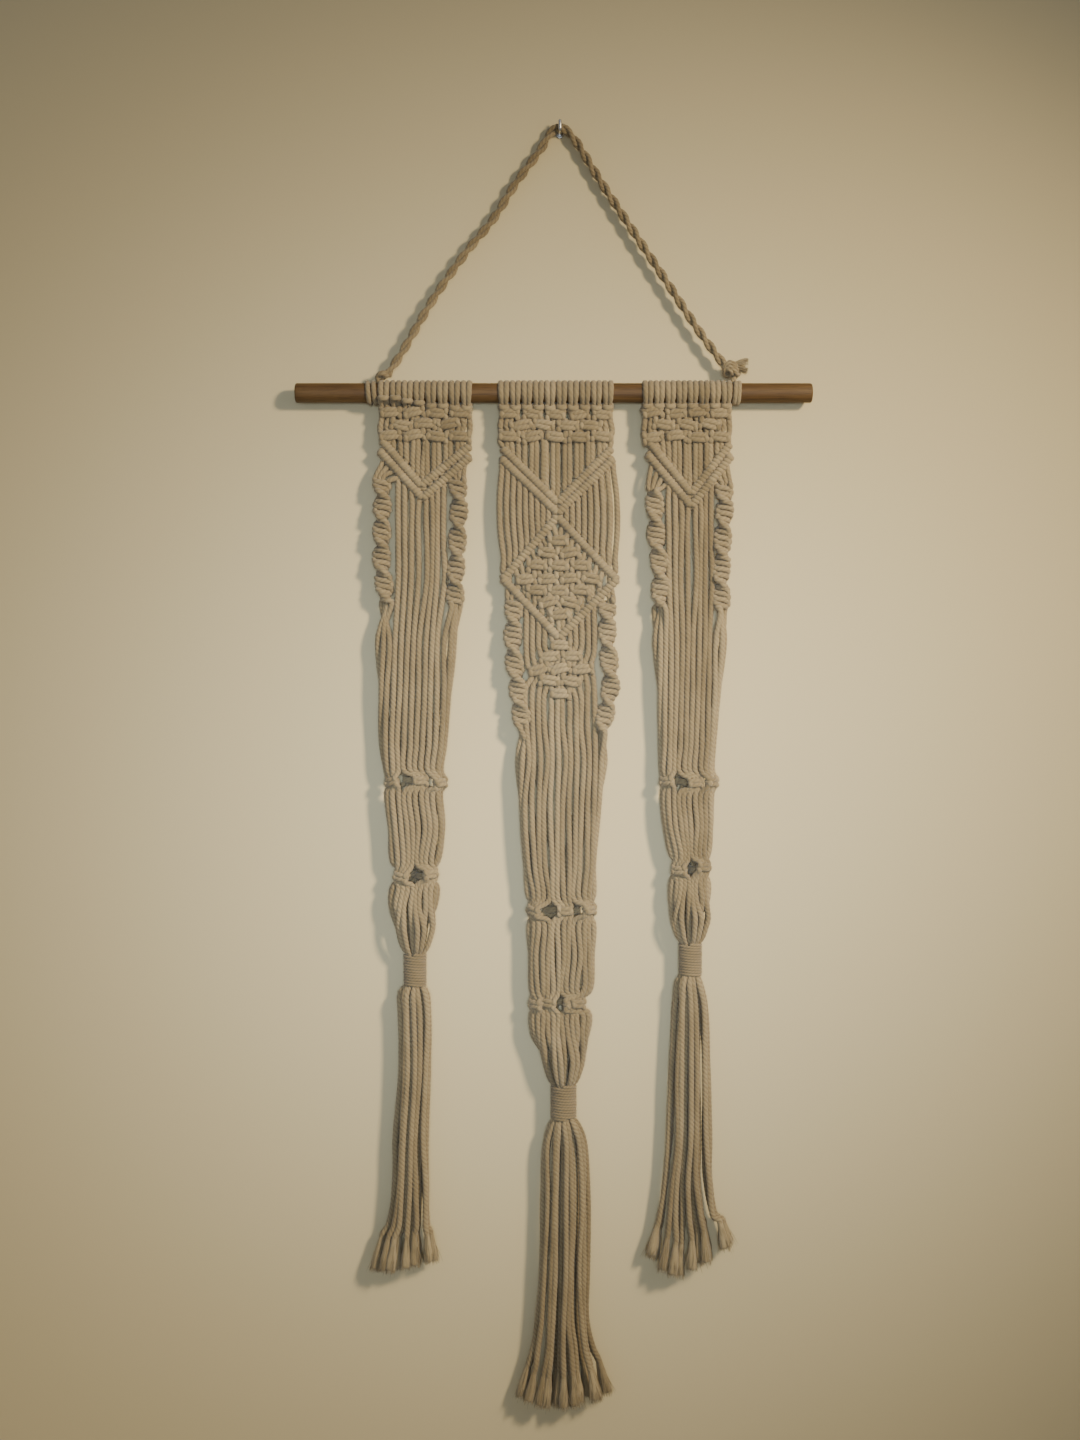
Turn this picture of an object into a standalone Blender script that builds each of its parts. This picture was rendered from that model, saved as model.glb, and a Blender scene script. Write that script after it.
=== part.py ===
"""A macrame wall hanging: three knotted cotton panels on a wooden dowel, a twisted hanging cord and its hook.

X runs across the wall, -Y comes out of it and Z is up. The origin is on the wall, behind the hook.
Sizes and tables are in millimetres, and "drop" is a distance below the dowel's centre line.
"""

import math
from collections import namedtuple

import bmesh
import bpy
from mathutils import Matrix, Vector

MM = 0.001
CLEARANCE = 0.3
PANEL_FACES_KEPT = 0.52
CORD_FACES_KEPT = 0.8

# Cotton strands, the bars of clove hitches, the half-knot spirals and the net's square knots
STRAND_RADIUS = 2.35
BAR_RADIUS = 3.8
DOUBLE_WIDTH = 15.0
DOUBLE_GROOVE = 2.4
BAR_NECK = 0.6
HITCH_LENGTH = 9.5
SPIRAL_WIDTH = 16.0
SPIRAL_DEPTH = 9.0
SPIRAL_STEPS = 4
KNOT_SIZE = (12.5, 11.0, 10.5)
KNOT_SPREAD = 3.0
KNOT_SQUEEZE = 0.55
BOW = 5.0

# Dowel
DOWEL_RADIUS = 8.4
DOWEL_LEFT = -230.2
DOWEL_RIGHT = 219.1
DOWEL_EDGE = 1.2
DOWEL_SIDES = 16
DOWEL_DROP = 228.8
DOWEL_OUT = 13.0

# Lark's heads: the strands' wraps round the dowel
HEAD_STEPS = 8
HEAD_CREST = 12.3
HEAD_PAIR_VALLEY = 11.5
HEAD_VALLEY = 10.4
HEAD_INSIDE = (DOWEL_RADIUS + CLEARANCE) / math.cos(math.pi / HEAD_STEPS)

# Band of square knots under the lark's heads
BAND_TOP = 10.0
BAND_BOTTOM = 45.0
BAND_ROWS = 3
BAND_CELLS = 4
RELIEF_LOW = 2.0
RELIEF_RISE = 3.4
HOLE_RADIUS = 2.7
HOLE_SIDES = 6

# Gathering wraps and tassels
CORE_SIDES = 8
NECK_FLARE = 4.5
NECK_HEIGHT = 9.0
NECK_FLAT = 0.8
NECK_SQUEEZE = 0.6
WRAP_TURNS = 8
WRAP_CORD = 2.8
WRAP_GROOVE = 1.0
WRAP_STEPS = 8
TASSEL_RADIUS = 2.2
TASSEL_ROOT = 0.6
TASSEL_HEAD = 4.0
TASSEL_END = 1.25
TASSEL_INNER_RING = 0.42
TASSEL_DEPTH = 10.5
TASSEL_OUTER_SHARE = 0.7
TASSEL_UNEVEN = 3.0

# Hanging cord: two plies laid round each other
ROPE_WIDTH = 8.4
ROPE_DEPTH = 4.8
ROPE_HALF_TURN = 15.2
ROPE_STEPS = 3
ROPE_LOOP_CREST = 12.6
ROPE_LOOP_VALLEY = 10.8

# Wall hook
HOOK_WIRE_RADIUS = 1.5
HOOK_PLATE_RADIUS = 3.4
HOOK_PLATE_DEPTH = 1.2
HOOK_REACH = 12.2
HOOK_BEND = 3.0
HOOK_TIP = 9.5

Panel = namedtuple("Panel", "left right heads")
Bar = namedtuple("Bar", "x1 drop1 x2 drop2")
Spiral = namedtuple("Spiral", "x1 drop1 x2 drop2 x3 drop3 lobes")
Level = namedtuple("Level", "drop left right curl depth first_knot thickness", defaults=(None, 1.0))
Wrap = namedtuple("Wrap", "x top bottom radius")
Skirt = namedtuple("Skirt", "drop left right")
Loops = namedtuple("Loops", "left right turns")
Lump = namedtuple("Lump", "x z width depth height")

# Where each panel starts on the dowel, and its number of lark's heads, two strands to a head
PANELS = {
    "left": Panel(-158.0, -76.3, 8),
    "center": Panel(-53.9, 46.6, 10),
    "right": Panel(71.5, 149.2, 8),
}

# Double bars of clove hitches. A V has a left and a right one, which cross at the bottom.
CHEVRONS = {
    "left": [Bar(-156.0, 44.5, -118.5, 91.0), Bar(-80.0, 50.0, -123.5, 91.0)],
    "center": [Bar(-49.0, 52.0, 1.5, 104.2), Bar(44.0, 52.5, -4.5, 104.2)],
    "right": [Bar(78.6, 48.0, 116.5, 97.0), Bar(147.6, 49.5, 111.5, 97.0)],
}

# The middle panel's diamonds, as corners (x, drop): top, right, bottom, left
DIAMOND = ((-2.6, 108.0), (48.7, 162.7), (-1.2, 213.2), (-49.3, 161.8))
DIAMOND_KNOTS = 4
DIAMOND_HOLES = ((-39.0, 162.3), (-18.5, 162.3), (17.5, 162.3), (38.0, 162.3))
SMALL_DIAMOND = ((0.0, 214.0), (30.5, 240.5), (0.9, 267.5), (-28.0, 240.0))
SMALL_DIAMOND_KNOTS = 3

SPIRALS = {
    "left": [
        Spiral(-154.9, 72.0, -155.3, 125.0, -152.2, 183.0, 4.6),
        Spiral(-88.7, 74.0, -89.3, 127.0, -91.4, 183.0, 4.4),
    ],
    "center": [
        Spiral(-40.3, 178.3, -40.9, 228.0, -33.7, 289.0, 4.4),
        Spiral(40.5, 176.6, 42.6, 227.9, 36.5, 294.0, 4.6),
    ],
    "right": [
        Spiral(81.8, 84.0, 84.4, 132.2, 87.5, 186.2, 4.0),
        Spiral(142.7, 78.0, 140.9, 132.2, 140.3, 188.0, 4.3),
    ],
}

# Sections of each panel below its spirals. The row of strands is a flattened tube 2 * depth thick,
# and curl is the share of it that the row goes round: 0.5 is the front alone, 1 is a closed tube.
# first_knot starts a row of net knots, and thickness scales the strands.
LEVELS = {
    "left": [
        Level(258.4, -158.3, -94.0, 0.75, 4.0),
        Level(336.7, -151.8, -101.4, 1.0, 6.5, 2),
        Level(378.4, -149.6, -100.9, 1.0, 8.0),
        Level(419.3, -146.3, -105.3, 1.0, 6.5, 0),
        Level(462.0, -146.2, -109.5, 1.0, 8.0),
    ],
    "center": [
        Level(356.7, -35.1, 36.3, 0.85, 6.0),
        Level(400.0, -30.2, 31.2, 1.0, 8.0),
        Level(449.0, -28.1, 30.5, 1.0, 7.0, 0),
        Level(488.9, -28.6, 28.9, 1.0, 8.5),
        Level(530.7, -27.0, 26.2, 1.0, 7.0, 2),
        Level(575.0, -21.5, 22.4, 1.0, 8.5),
    ],
    "right": [
        Level(258.4, 85.3, 140.9, 0.77, 4.5),
        Level(338.4, 86.6, 135.7, 1.0, 6.5, 2),
        Level(375.8, 90.0, 133.1, 1.0, 8.0),
        Level(413.2, 93.7, 130.2, 1.0, 6.5, 0),
        Level(455.0, 97.6, 129.2, 1.0, 8.5, None, 0.9),
    ],
}

WRAPS = {
    "left": Wrap(-126.2, 487.2, 516.8, 10.2),
    "center": Wrap(3.1, 601.2, 631.2, 11.4),
    "right": Wrap(113.3, 478.1, 506.9, 10.3),
}

# Widths of each tassel down to its cut end
SKIRTS = {
    "left": [
        Skirt(530.0, -139.4, -112.4),
        Skirt(623.8, -143.0, -112.6),
        Skirt(702.1, -148.6, -110.9),
        Skirt(760.0, -157.5, -108.8),
    ],
    "center": [
        Skirt(648.0, -12.2, 20.4),
        Skirt(736.9, -17.4, 26.0),
        Skirt(823.9, -22.8, 29.1),
        Skirt(877.8, -30.8, 37.7),
    ],
    "right": [
        Skirt(520.0, 99.5, 126.5),
        Skirt(615.1, 94.0, 131.9),
        Skirt(684.7, 88.3, 136.4),
        Skirt(760.0, 81.5, 149.2),
    ],
}

# Points (x, out from the wall, z) along the hanging cord, from the left knot over the hook to the right
ROPE_PATH = [
    (-154.0, 13.0, -211.5),
    (-148.0, 13.0, -206.5),
    (-139.2, 12.5, -196.2),
    (-110.5, 11.5, -147.0),
    (-81.5, 10.0, -105.3),
    (-58.3, 8.5, -76.4),
    (-38.3, 7.5, -44.4),
    (-16.5, 6.5, -14.4),
    (-7.5, 6.1, 1.0),
    (0.0, 6.0, 6.0),
    (7.5, 6.1, 0.8),
    (13.1, 6.3, -6.1),
    (34.8, 7.5, -41.8),
    (69.6, 9.5, -95.7),
    (91.3, 10.5, -128.8),
    (121.8, 12.0, -175.7),
    (140.9, 13.0, -201.8),
    (146.0, 13.0, -208.0),
]
LEFT_LOOPS = Loops(-168.9, -159.1, 2)
RIGHT_LOOPS = Loops(150.3, 156.7, 1)
LEFT_LUMP = Lump(-155.0, -211.3, 16.0, 11.0, 8.8)
RIGHT_LUMP = Lump(147.8, -208.4, 19.0, 13.0, 14.0)
# (x, z, radius) along the short cords from each knot into its loops, and along the loose end
LEFT_LINK = [(-157.0, -211.5, 2.4), (-161.5, -213.0, 2.4), (-164.0, -218.5, 2.4)]
RIGHT_LINK = [(150.0, -209.0, 2.4), (153.8, -212.0, 2.4), (153.6, -219.0, 2.4)]
LOOSE_END = [(152.0, -206.5, 2.4), (157.0, -205.2, 2.8), (163.6, -206.0, 4.6)]


for thing in list(bpy.data.objects):
    bpy.data.objects.remove(thing)
hanging = bpy.data.collections.new("macrame_wall_hanging")
guides = bpy.data.collections.new("guides")
guides.hide_render = True
bpy.context.scene.collection.children.link(hanging)
bpy.context.scene.collection.children.link(guides)


def place(across, out, up):
    """A point in metres, from millimetres across the wall, out from it and up."""
    return Vector((across, -out, up)) * MM


def below(across, drop, out=DOWEL_OUT):
    return place(across, out, -DOWEL_DROP - drop)


def through(points, spacing):
    """Points a little under the spacing apart on the smooth curve through the given ones."""
    padded = [2 * points[0] - points[1]] + points + [2 * points[-1] - points[-2]]
    fine = []
    for before, start, end, after in zip(padded, padded[1:], padded[2:], padded[3:]):
        for step in range(16):
            t = step / 16
            fine.append(
                0.5
                * (
                    2 * start
                    + (end - before) * t
                    + (2 * before - 5 * start + 4 * end - after) * t**2
                    + (3 * start - before - 3 * end + after) * t**3
                )
            )
    fine.append(points[-1])
    lengths = [0.0]
    for start, end in zip(fine, fine[1:]):
        lengths.append(lengths[-1] + (end - start).length)
    count = math.ceil(lengths[-1] / spacing)
    result = []
    index = 0
    for step in range(count + 1):
        wanted = lengths[-1] * step / count
        while index < len(fine) - 2 and lengths[index + 1] < wanted:
            index += 1
        share = (wanted - lengths[index]) / (lengths[index + 1] - lengths[index])
        result.append(fine[index].lerp(fine[index + 1], share))
    return result


def outline_curve(name, corners):
    """A closed flat outline that a curve can carry along itself."""
    data = bpy.data.curves.new(name, "CURVE")
    data.dimensions = "2D"
    spline = data.splines.new("POLY")
    spline.points.add(len(corners) - 1)
    for point, (across, out) in zip(spline.points, corners):
        point.co = (across * MM, out * MM, 0.0, 1.0)
    spline.use_cyclic_u = True
    return link(bpy.data.objects.new(name, data), guides)


def oval(name, width, depth, sides):
    angles = [2 * math.pi * step / sides for step in range(sides)]
    return outline_curve(name, [(width / 2 * math.cos(a), depth / 2 * math.sin(a)) for a in angles])


def link(thing, collection):
    collection.objects.link(thing)
    return thing


def from_work(work, name, collection):
    """Makes an object of a finished bmesh."""
    mesh = bpy.data.meshes.new(name)
    work.to_mesh(mesh)
    work.free()
    return link(bpy.data.objects.new(name, mesh), collection)


def as_mesh(source, name, collection):
    """Turns a curve or an object with modifiers into a closed mesh object, and removes the source."""
    bpy.context.view_layer.update()
    graph = bpy.context.evaluated_depsgraph_get()
    mesh = bpy.data.meshes.new_from_object(source.evaluated_get(graph))
    mesh.transform(source.matrix_world)
    work = bmesh.new()
    work.from_mesh(mesh)
    bmesh.ops.remove_doubles(work, verts=work.verts, dist=1e-6)
    bmesh.ops.recalc_face_normals(work, faces=work.faces)
    work.to_mesh(mesh)
    work.free()
    bpy.data.objects.remove(source)
    return link(bpy.data.objects.new(name, mesh), collection)


def swept(name, points, collection, radii=None, tilts=None, outline=None, radius=STRAND_RADIUS, sides=4):
    """A tube along the points, round by default. radii scale it, and tilts turn it, point by point."""
    data = bpy.data.curves.new(name, "CURVE")
    data.dimensions = "3D"
    data.use_fill_caps = True
    if outline:
        data.bevel_mode = "OBJECT"
        data.bevel_object = outline
    else:
        data.bevel_depth = radius * MM
        data.bevel_resolution = (sides - 4) // 2
    spline = data.splines.new("POLY")
    spline.points.add(len(points) - 1)
    for index, point in enumerate(points):
        spline.points[index].co = (*point, 1.0)
        spline.points[index].radius = radii[index] if radii else 1.0
        spline.points[index].tilt = tilts[index] if tilts else 0.0
    return as_mesh(link(bpy.data.objects.new(name, data), collection), name, collection)


def ring(name, rim, inside, steps, turn, collection):
    """A band turned from a rim of (along, radius) points round a bore. turn puts its Z axis in place."""
    mesh = bpy.data.meshes.new(name)
    corners = [(rim[0][0], inside)] + rim + [(rim[-1][0], inside)]
    points = [(radius * MM, 0.0, along * MM) for along, radius in corners]
    edges = [(index, (index + 1) % len(points)) for index in range(len(points))]
    mesh.from_pydata(points, edges, [])
    body = link(bpy.data.objects.new(name, mesh), collection)
    screw = body.modifiers.new("Turn", "SCREW")
    screw.steps = steps
    screw.render_steps = steps
    screw.use_merge_vertices = True
    screw.merge_threshold = 1e-6
    body.matrix_world = turn
    return as_mesh(body, name, collection)


def ball(name, center, size, collection, segments=6, rings=4, lean=0.0):
    """A rounded knot of the given full sizes across, out and up."""
    work = bmesh.new()
    bmesh.ops.create_uvsphere(work, u_segments=segments, v_segments=rings, radius=0.5)
    bmesh.ops.scale(work, vec=[side * MM for side in size], verts=work.verts)
    bmesh.ops.rotate(work, matrix=Matrix.Rotation(lean, 3, "Z"), verts=work.verts)
    bmesh.ops.translate(work, vec=center, verts=work.verts)
    return from_work(work, name, collection)


def split_at_peaks(work):
    """Cuts each four-sided face from its highest corner, so that every bump is a pyramid."""
    for face in list(work.faces):
        corners = list(face.verts)
        peak = min(range(4), key=lambda index: corners[index].co.y)
        bmesh.utils.face_split(face, corners[peak], corners[(peak + 2) % 4])


def relief(name, corners, columns, rows, height, collection):
    """A knotted field between four corners (top left, top right, bottom right, bottom left).

    height(u, v) is how far it stands out on both faces, in millimetres, at a share across and down.
    Its border lies on the middle plane.
    """
    work = bmesh.new()
    bmesh.ops.create_grid(work, x_segments=columns, y_segments=rows, size=0.5)
    top_left, top_right, bottom_right, bottom_left = corners
    for vert in work.verts:
        u, v = vert.co.x + 0.5, 0.5 - vert.co.y
        top = top_left.lerp(top_right, u)
        bottom = bottom_left.lerp(bottom_right, u)
        vert.co = top.lerp(bottom, v)
        vert.co.y = 0.0 if vert.is_boundary else -height(u, v) * MM
    split_at_peaks(work)
    body = from_work(work, name, collection)
    body.location.y = top_left.y
    mirror = body.modifiers.new("Back", "MIRROR")
    mirror.use_axis = (False, True, False)
    mirror.merge_threshold = 1e-6
    return as_mesh(body, name, collection)


def fuse(name, pieces, material, keep=1.0):
    """Joins the pieces one after another into one solid, and keeps this share of its faces."""
    body = pieces[0]
    for other in pieces[1:]:
        union = body.modifiers.new("Union", "BOOLEAN")
        union.operation = "UNION"
        union.solver = "MANIFOLD"
        union.object = other
        body.data = evaluated_mesh(body)
        body.modifiers.clear()
        bpy.data.objects.remove(other)
    if keep < 1.0:
        thin_out(body, keep)
    body.users_collection[0].objects.unlink(body)
    link(body, hanging)
    body.name = name
    body.data.materials.append(material)
    return body


def evaluated_mesh(body):
    graph = bpy.context.evaluated_depsgraph_get()
    return bpy.data.meshes.new_from_object(body.evaluated_get(graph))


def thin_out(body, keep):
    """Collapses the short edges that joining leaves, then takes off any face that hangs by one edge."""
    decimate = body.modifiers.new("Fewer faces", "DECIMATE")
    decimate.ratio = keep
    decimate.use_collapse_triangulate = True
    body.data = evaluated_mesh(body)
    body.modifiers.clear()
    work = bmesh.new()
    work.from_mesh(body.data)
    loose = [face for face in work.faces if sum(edge.is_boundary for edge in face.edges) >= 2]
    bmesh.ops.delete(work, geom=loose, context="FACES")
    work.to_mesh(body.data)
    work.free()


def pieces_of(name):
    """The hidden collection that holds one solid's pieces."""
    key = name + "_pieces"
    if key not in bpy.data.collections:
        made = bpy.data.collections.new(key)
        made.hide_render = True
        guides.children.link(made)
    return bpy.data.collections[key]


def paint(name, color, roughness, metallic=0.0):
    material = bpy.data.materials.new(name)
    material.use_nodes = True
    shader = material.node_tree.nodes["Principled BSDF"]
    shader.inputs["Base Color"].default_value = (*color, 1.0)
    shader.inputs["Roughness"].default_value = roughness
    shader.inputs["Metallic"].default_value = metallic
    return material


def strand_share(index, strands):
    """Where a strand lies in its panel's row, from -1 at the left edge to 1 at the right."""
    return 2 * (index + 0.5) / strands - 1


def on_level(level, share):
    """The place at a share of a panel's section: flat in front, round the ends and flat behind."""
    side = 1 if share > 0 else -1
    middle = (level.left + level.right) / 2
    flat = (level.right - level.left) / 2 - STRAND_RADIUS - level.depth
    along = abs(share) * level.curl * (2 * flat + math.pi * level.depth)
    turned = min(max(along - flat, 0.0), math.pi * level.depth)
    back = max(along - flat - math.pi * level.depth, 0.0)
    angle = turned / level.depth
    across = min(along, flat) - back + level.depth * math.sin(angle)
    return below(middle + side * across, level.drop, DOWEL_OUT + level.depth * math.cos(angle))


def level_angle(level, share):
    """How far the row of strands has turned from facing out, at this share of a section."""
    flat = (level.right - level.left) / 2 - STRAND_RADIUS - level.depth
    along = abs(share) * level.curl * (2 * flat + math.pi * level.depth)
    angle = min(max(along - flat, 0.0) / level.depth, math.pi)
    return math.copysign(angle, share)


def knot_share(first, strands):
    """The share at the middle of the four strands that start with this one."""
    return strand_share(first + 1.5, strands)


def in_knot(level, index, strands):
    """A strand's place in its net knot, where its four strands are pressed side by side."""
    order = (index - level.first_knot) % strands
    share = knot_share(level.first_knot + order - order % 4, strands)
    angle = level_angle(level, share)
    aside = (order % 4 - 1.5) * KNOT_SPREAD
    return on_level(level, share) + place(aside * math.cos(angle), -aside * math.sin(angle), 0.0)


def bar_drop(bars, across):
    """How low the lower V of two bars reaches at this place across its panel."""
    left, right = bars
    bar = left if across < (left.x2 + right.x2) / 2 else right
    share = (across - bar.x1) / (bar.x2 - bar.x1)
    return bar.drop1 + share * (bar.drop2 - bar.drop1)


def dowel():
    work = bmesh.new()
    length = (DOWEL_RIGHT - DOWEL_LEFT) * MM
    bmesh.ops.create_cone(
        work,
        cap_ends=True,
        segments=DOWEL_SIDES,
        radius1=DOWEL_RADIUS * MM,
        radius2=DOWEL_RADIUS * MM,
        depth=length,
    )
    mesh = bpy.data.meshes.new("dowel")
    work.to_mesh(mesh)
    work.free()
    body = link(bpy.data.objects.new("dowel", mesh), hanging)
    body.rotation_euler = (0.0, math.pi / 2, 0.0)
    body.location = below((DOWEL_LEFT + DOWEL_RIGHT) / 2, 0.0)
    edge = body.modifiers.new("Eased ends", "BEVEL")
    edge.width = DOWEL_EDGE * MM
    edge.limit_method = "ANGLE"
    mesh.shade_smooth()
    mesh.set_sharp_from_angle(angle=math.radians(40))
    mesh.materials.append(wood)
    return body


def head_rim(panel):
    """The ridged front of a row of lark's heads: two wraps to a head, with a deeper groove after each."""
    wraps = 2 * panel.heads
    pitch = (panel.right - panel.left) / wraps
    rim = [(panel.left, HEAD_VALLEY)]
    for index in range(wraps):
        start = panel.left + index * pitch
        rim.append((start + pitch / 2, HEAD_CREST))
        rim.append((start + pitch, HEAD_VALLEY if index % 2 else HEAD_PAIR_VALLEY))
    return rim


def round_dowel():
    """Turns a ring's axis onto the dowel's."""
    return Matrix.Translation(below(0.0, 0.0)) @ Matrix.Rotation(math.pi / 2, 4, "Y")


def band(panel, collection):
    """Alternating square knots: rows 1 and 3 have one knot to two lark's heads, row 2 lies between."""
    knots = panel.heads // 2

    def height(u, v):
        row = min(int(v * BAND_ROWS), BAND_ROWS - 1)
        shift = 0.5 if row == 1 else 0.0
        across = abs(math.sin(math.pi * (u * knots + shift)))
        return RELIEF_LOW + RELIEF_RISE * math.sin(math.pi * v * BAND_ROWS) ** 2 * math.sqrt(across)

    corners = [
        below(panel.left, BAND_TOP),
        below(panel.right, BAND_TOP),
        below(panel.right, BAND_BOTTOM),
        below(panel.left, BAND_BOTTOM),
    ]
    return relief("band", corners, knots * BAND_CELLS, BAND_ROWS * 2, height, collection)


def lattice(name, corners, knots, border, collection):
    """A diamond of square knots, the given number to a side, with a border of plain cells."""
    cells = 2 * (knots + border)

    def height(u, v):
        across = (u * cells - border) * math.pi / 2
        down = (v * cells - border) * math.pi / 2
        inside = min(u, v, 1 - u, 1 - v) * cells > border
        return RELIEF_LOW + (RELIEF_RISE * abs(math.sin(across) * math.sin(down)) if inside else 0.0)

    top, right, bottom, left = [below(*corner) for corner in corners]
    return relief(name, (top, right, bottom, left), cells, cells, height, collection)


def cut_hole(body, across, drop, collection):
    """Cuts one of the gaps between knots right through."""
    work = bmesh.new()
    bmesh.ops.create_cone(
        work,
        cap_ends=True,
        segments=HOLE_SIDES,
        radius1=HOLE_RADIUS * MM,
        radius2=HOLE_RADIUS * MM,
        depth=4 * RELIEF_RISE * MM,
        matrix=Matrix.Translation(below(across, drop)) @ Matrix.Rotation(math.pi / 2, 4, "X"),
    )
    cutter = from_work(work, "hole", collection)
    cut = body.modifiers.new("Hole", "BOOLEAN")
    cut.operation = "DIFFERENCE"
    cut.solver = "MANIFOLD"
    cut.object = cutter
    body.data = evaluated_mesh(body)
    body.modifiers.clear()
    bpy.data.objects.remove(cutter)


def hitched_bar(start, end, outline, collection):
    """A bar of clove hitches: a cord ridged once for each strand that is hitched onto it."""
    ridges = max(2, round((end - start).length / (HITCH_LENGTH * MM)))
    points = [start.lerp(end, step / (2 * ridges)) for step in range(2 * ridges + 1)]
    radii = [BAR_NECK if step % 2 == 0 else 1.0 for step in range(2 * ridges + 1)]
    flat = [math.pi / 2] * len(points)
    return swept("bar", points, collection, radii=radii, tilts=flat, outline=outline)


def double_corners():
    """The section of two bars that lie against each other, with a groove between them."""
    half = DOUBLE_WIDTH / 2
    crest = half - BAR_RADIUS
    return [
        (half, 0.0),
        (crest, BAR_RADIUS),
        (0.0, DOUBLE_GROOVE),
        (-crest, BAR_RADIUS),
        (-half, 0.0),
        (-crest, -BAR_RADIUS),
        (0.0, -DOUBLE_GROOVE),
        (crest, -BAR_RADIUS),
    ]


def spiral_points(spiral):
    top, middle, bottom = (
        below(spiral.x1, spiral.drop1),
        below(spiral.x2, spiral.drop2),
        below(spiral.x3, spiral.drop3),
    )
    steps = round(spiral.lobes * SPIRAL_STEPS)
    points = []
    for step in range(steps + 1):
        t = step / steps
        bend = 4 * t * (1 - t)
        straight = top.lerp(bottom, t)
        points.append(straight + (middle - (top + bottom) / 2) * bend)
    return points


def half_knot_spiral(spiral, collection):
    """Four strands in half knots: a flat bar that twists half a turn for each lobe."""
    points = spiral_points(spiral)
    tilts = [math.pi * step / SPIRAL_STEPS for step in range(len(points))]
    radii = [0.8] + [1.0] * (len(points) - 2) + [0.8]
    return swept("spiral", points, collection, radii=radii, tilts=tilts, outline=spiral_outline)


def net_knots(panel_strands, levels, collection):
    made = []
    for level in levels:
        if level.first_knot is None:
            continue
        for first in range(level.first_knot, level.first_knot + panel_strands, 4):
            share = knot_share(first, panel_strands)
            lean = -level_angle(level, share)
            made.append(ball("net_knot", on_level(level, share), KNOT_SIZE, collection, lean=lean))
    return made


def net_path(side, index, strands):
    """A strand's way from the spirals or the V down through the net into the neck, and its thickness."""
    path = []
    radii = []
    for level in LEVELS[side]:
        if level.first_knot is None:
            path.append(on_level(level, strand_share(index, strands)))
            radii.append(level.thickness)
        else:
            path.append(in_knot(level, index, strands))
            radii.append(KNOT_SQUEEZE)
    wrap = WRAPS[side]
    angle = strand_share(index, strands) * math.pi
    reach = core_radius(wrap) + NECK_FLARE - STRAND_RADIUS * NECK_SQUEEZE
    path.append(
        below(
            wrap.x + reach * math.sin(angle),
            wrap.top - NECK_HEIGHT + 2.0,
            DOWEL_OUT + reach * NECK_FLAT * math.cos(angle),
        )
    )
    radii.append(NECK_SQUEEZE)
    return path, radii


def core_radius(wrap):
    return wrap.radius - WRAP_CORD - 2 * CLEARANCE


def core(wrap, top, bottom, collection):
    """The packed strands inside a gathering wrap."""
    work = bmesh.new()
    radius = core_radius(wrap) * MM
    bmesh.ops.create_cone(
        work,
        cap_ends=True,
        segments=CORE_SIDES,
        radius1=radius,
        radius2=radius,
        depth=(bottom - top) * MM,
    )
    bmesh.ops.translate(work, vec=below(wrap.x, (top + bottom) / 2), verts=work.verts)
    return from_work(work, "core", collection)


def neck(wrap, collection):
    """Where the strands draw together above a gathering wrap."""
    work = bmesh.new()
    bmesh.ops.create_cone(
        work,
        cap_ends=True,
        segments=CORE_SIDES,
        radius1=core_radius(wrap) * MM,
        radius2=(core_radius(wrap) + NECK_FLARE) * MM,
        depth=NECK_HEIGHT * MM,
    )
    for vert in work.verts:
        if vert.co.z > 0:
            vert.co.y *= NECK_FLAT
    bmesh.ops.translate(work, vec=below(wrap.x, wrap.top - NECK_HEIGHT / 2), verts=work.verts)
    return from_work(work, "neck", collection)


def spiral_end(spiral, order, entering):
    """Where one of a spiral's four strands goes in at its top, or comes out at its foot."""
    spread = (order - 1.5) * KNOT_SPREAD
    if entering:
        return below(spiral.x1 + spread, spiral.drop1 + 8.0)
    return below(spiral.x3 + spread, spiral.drop3 - 8.0)


def side_strands(side, collection):
    """The strands of a left or right panel, four on each edge worked into spirals."""
    panel = PANELS[side]
    strands = 2 * panel.heads
    made = []
    for index in range(strands):
        across = panel.left + (panel.right - panel.left) * (index + 0.5) / strands
        crossing = below(across, bar_drop(CHEVRONS[side], across))
        upper = [below(across, BAND_BOTTOM - 1.5), crossing]
        net, radii = net_path(side, index, strands)
        if 4 <= index < strands - 4:
            made.append(swept("strand", upper + net, collection, radii=[1.0, 1.0] + radii))
            continue
        spiral = SPIRALS[side][0 if index < 4 else 1]
        entry = spiral_end(spiral, index % 4, True)
        made.append(swept("strand", upper + [entry], collection, radii=[1.0, 1.0, KNOT_SQUEEZE]))
        foot = spiral_end(spiral, index % 4, False)
        made.append(swept("strand", [foot] + net, collection, radii=[KNOT_SQUEEZE] + radii))
    return made


def on_diamond(corners, share, upper):
    """A place on the upper or lower edge of a diamond, from -1 at its left corner to 1 at its right."""
    top, right, bottom, left = [below(*corner) for corner in corners]
    middle = top if upper else bottom
    return middle.lerp(right if share > 0 else left, abs(share))


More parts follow.
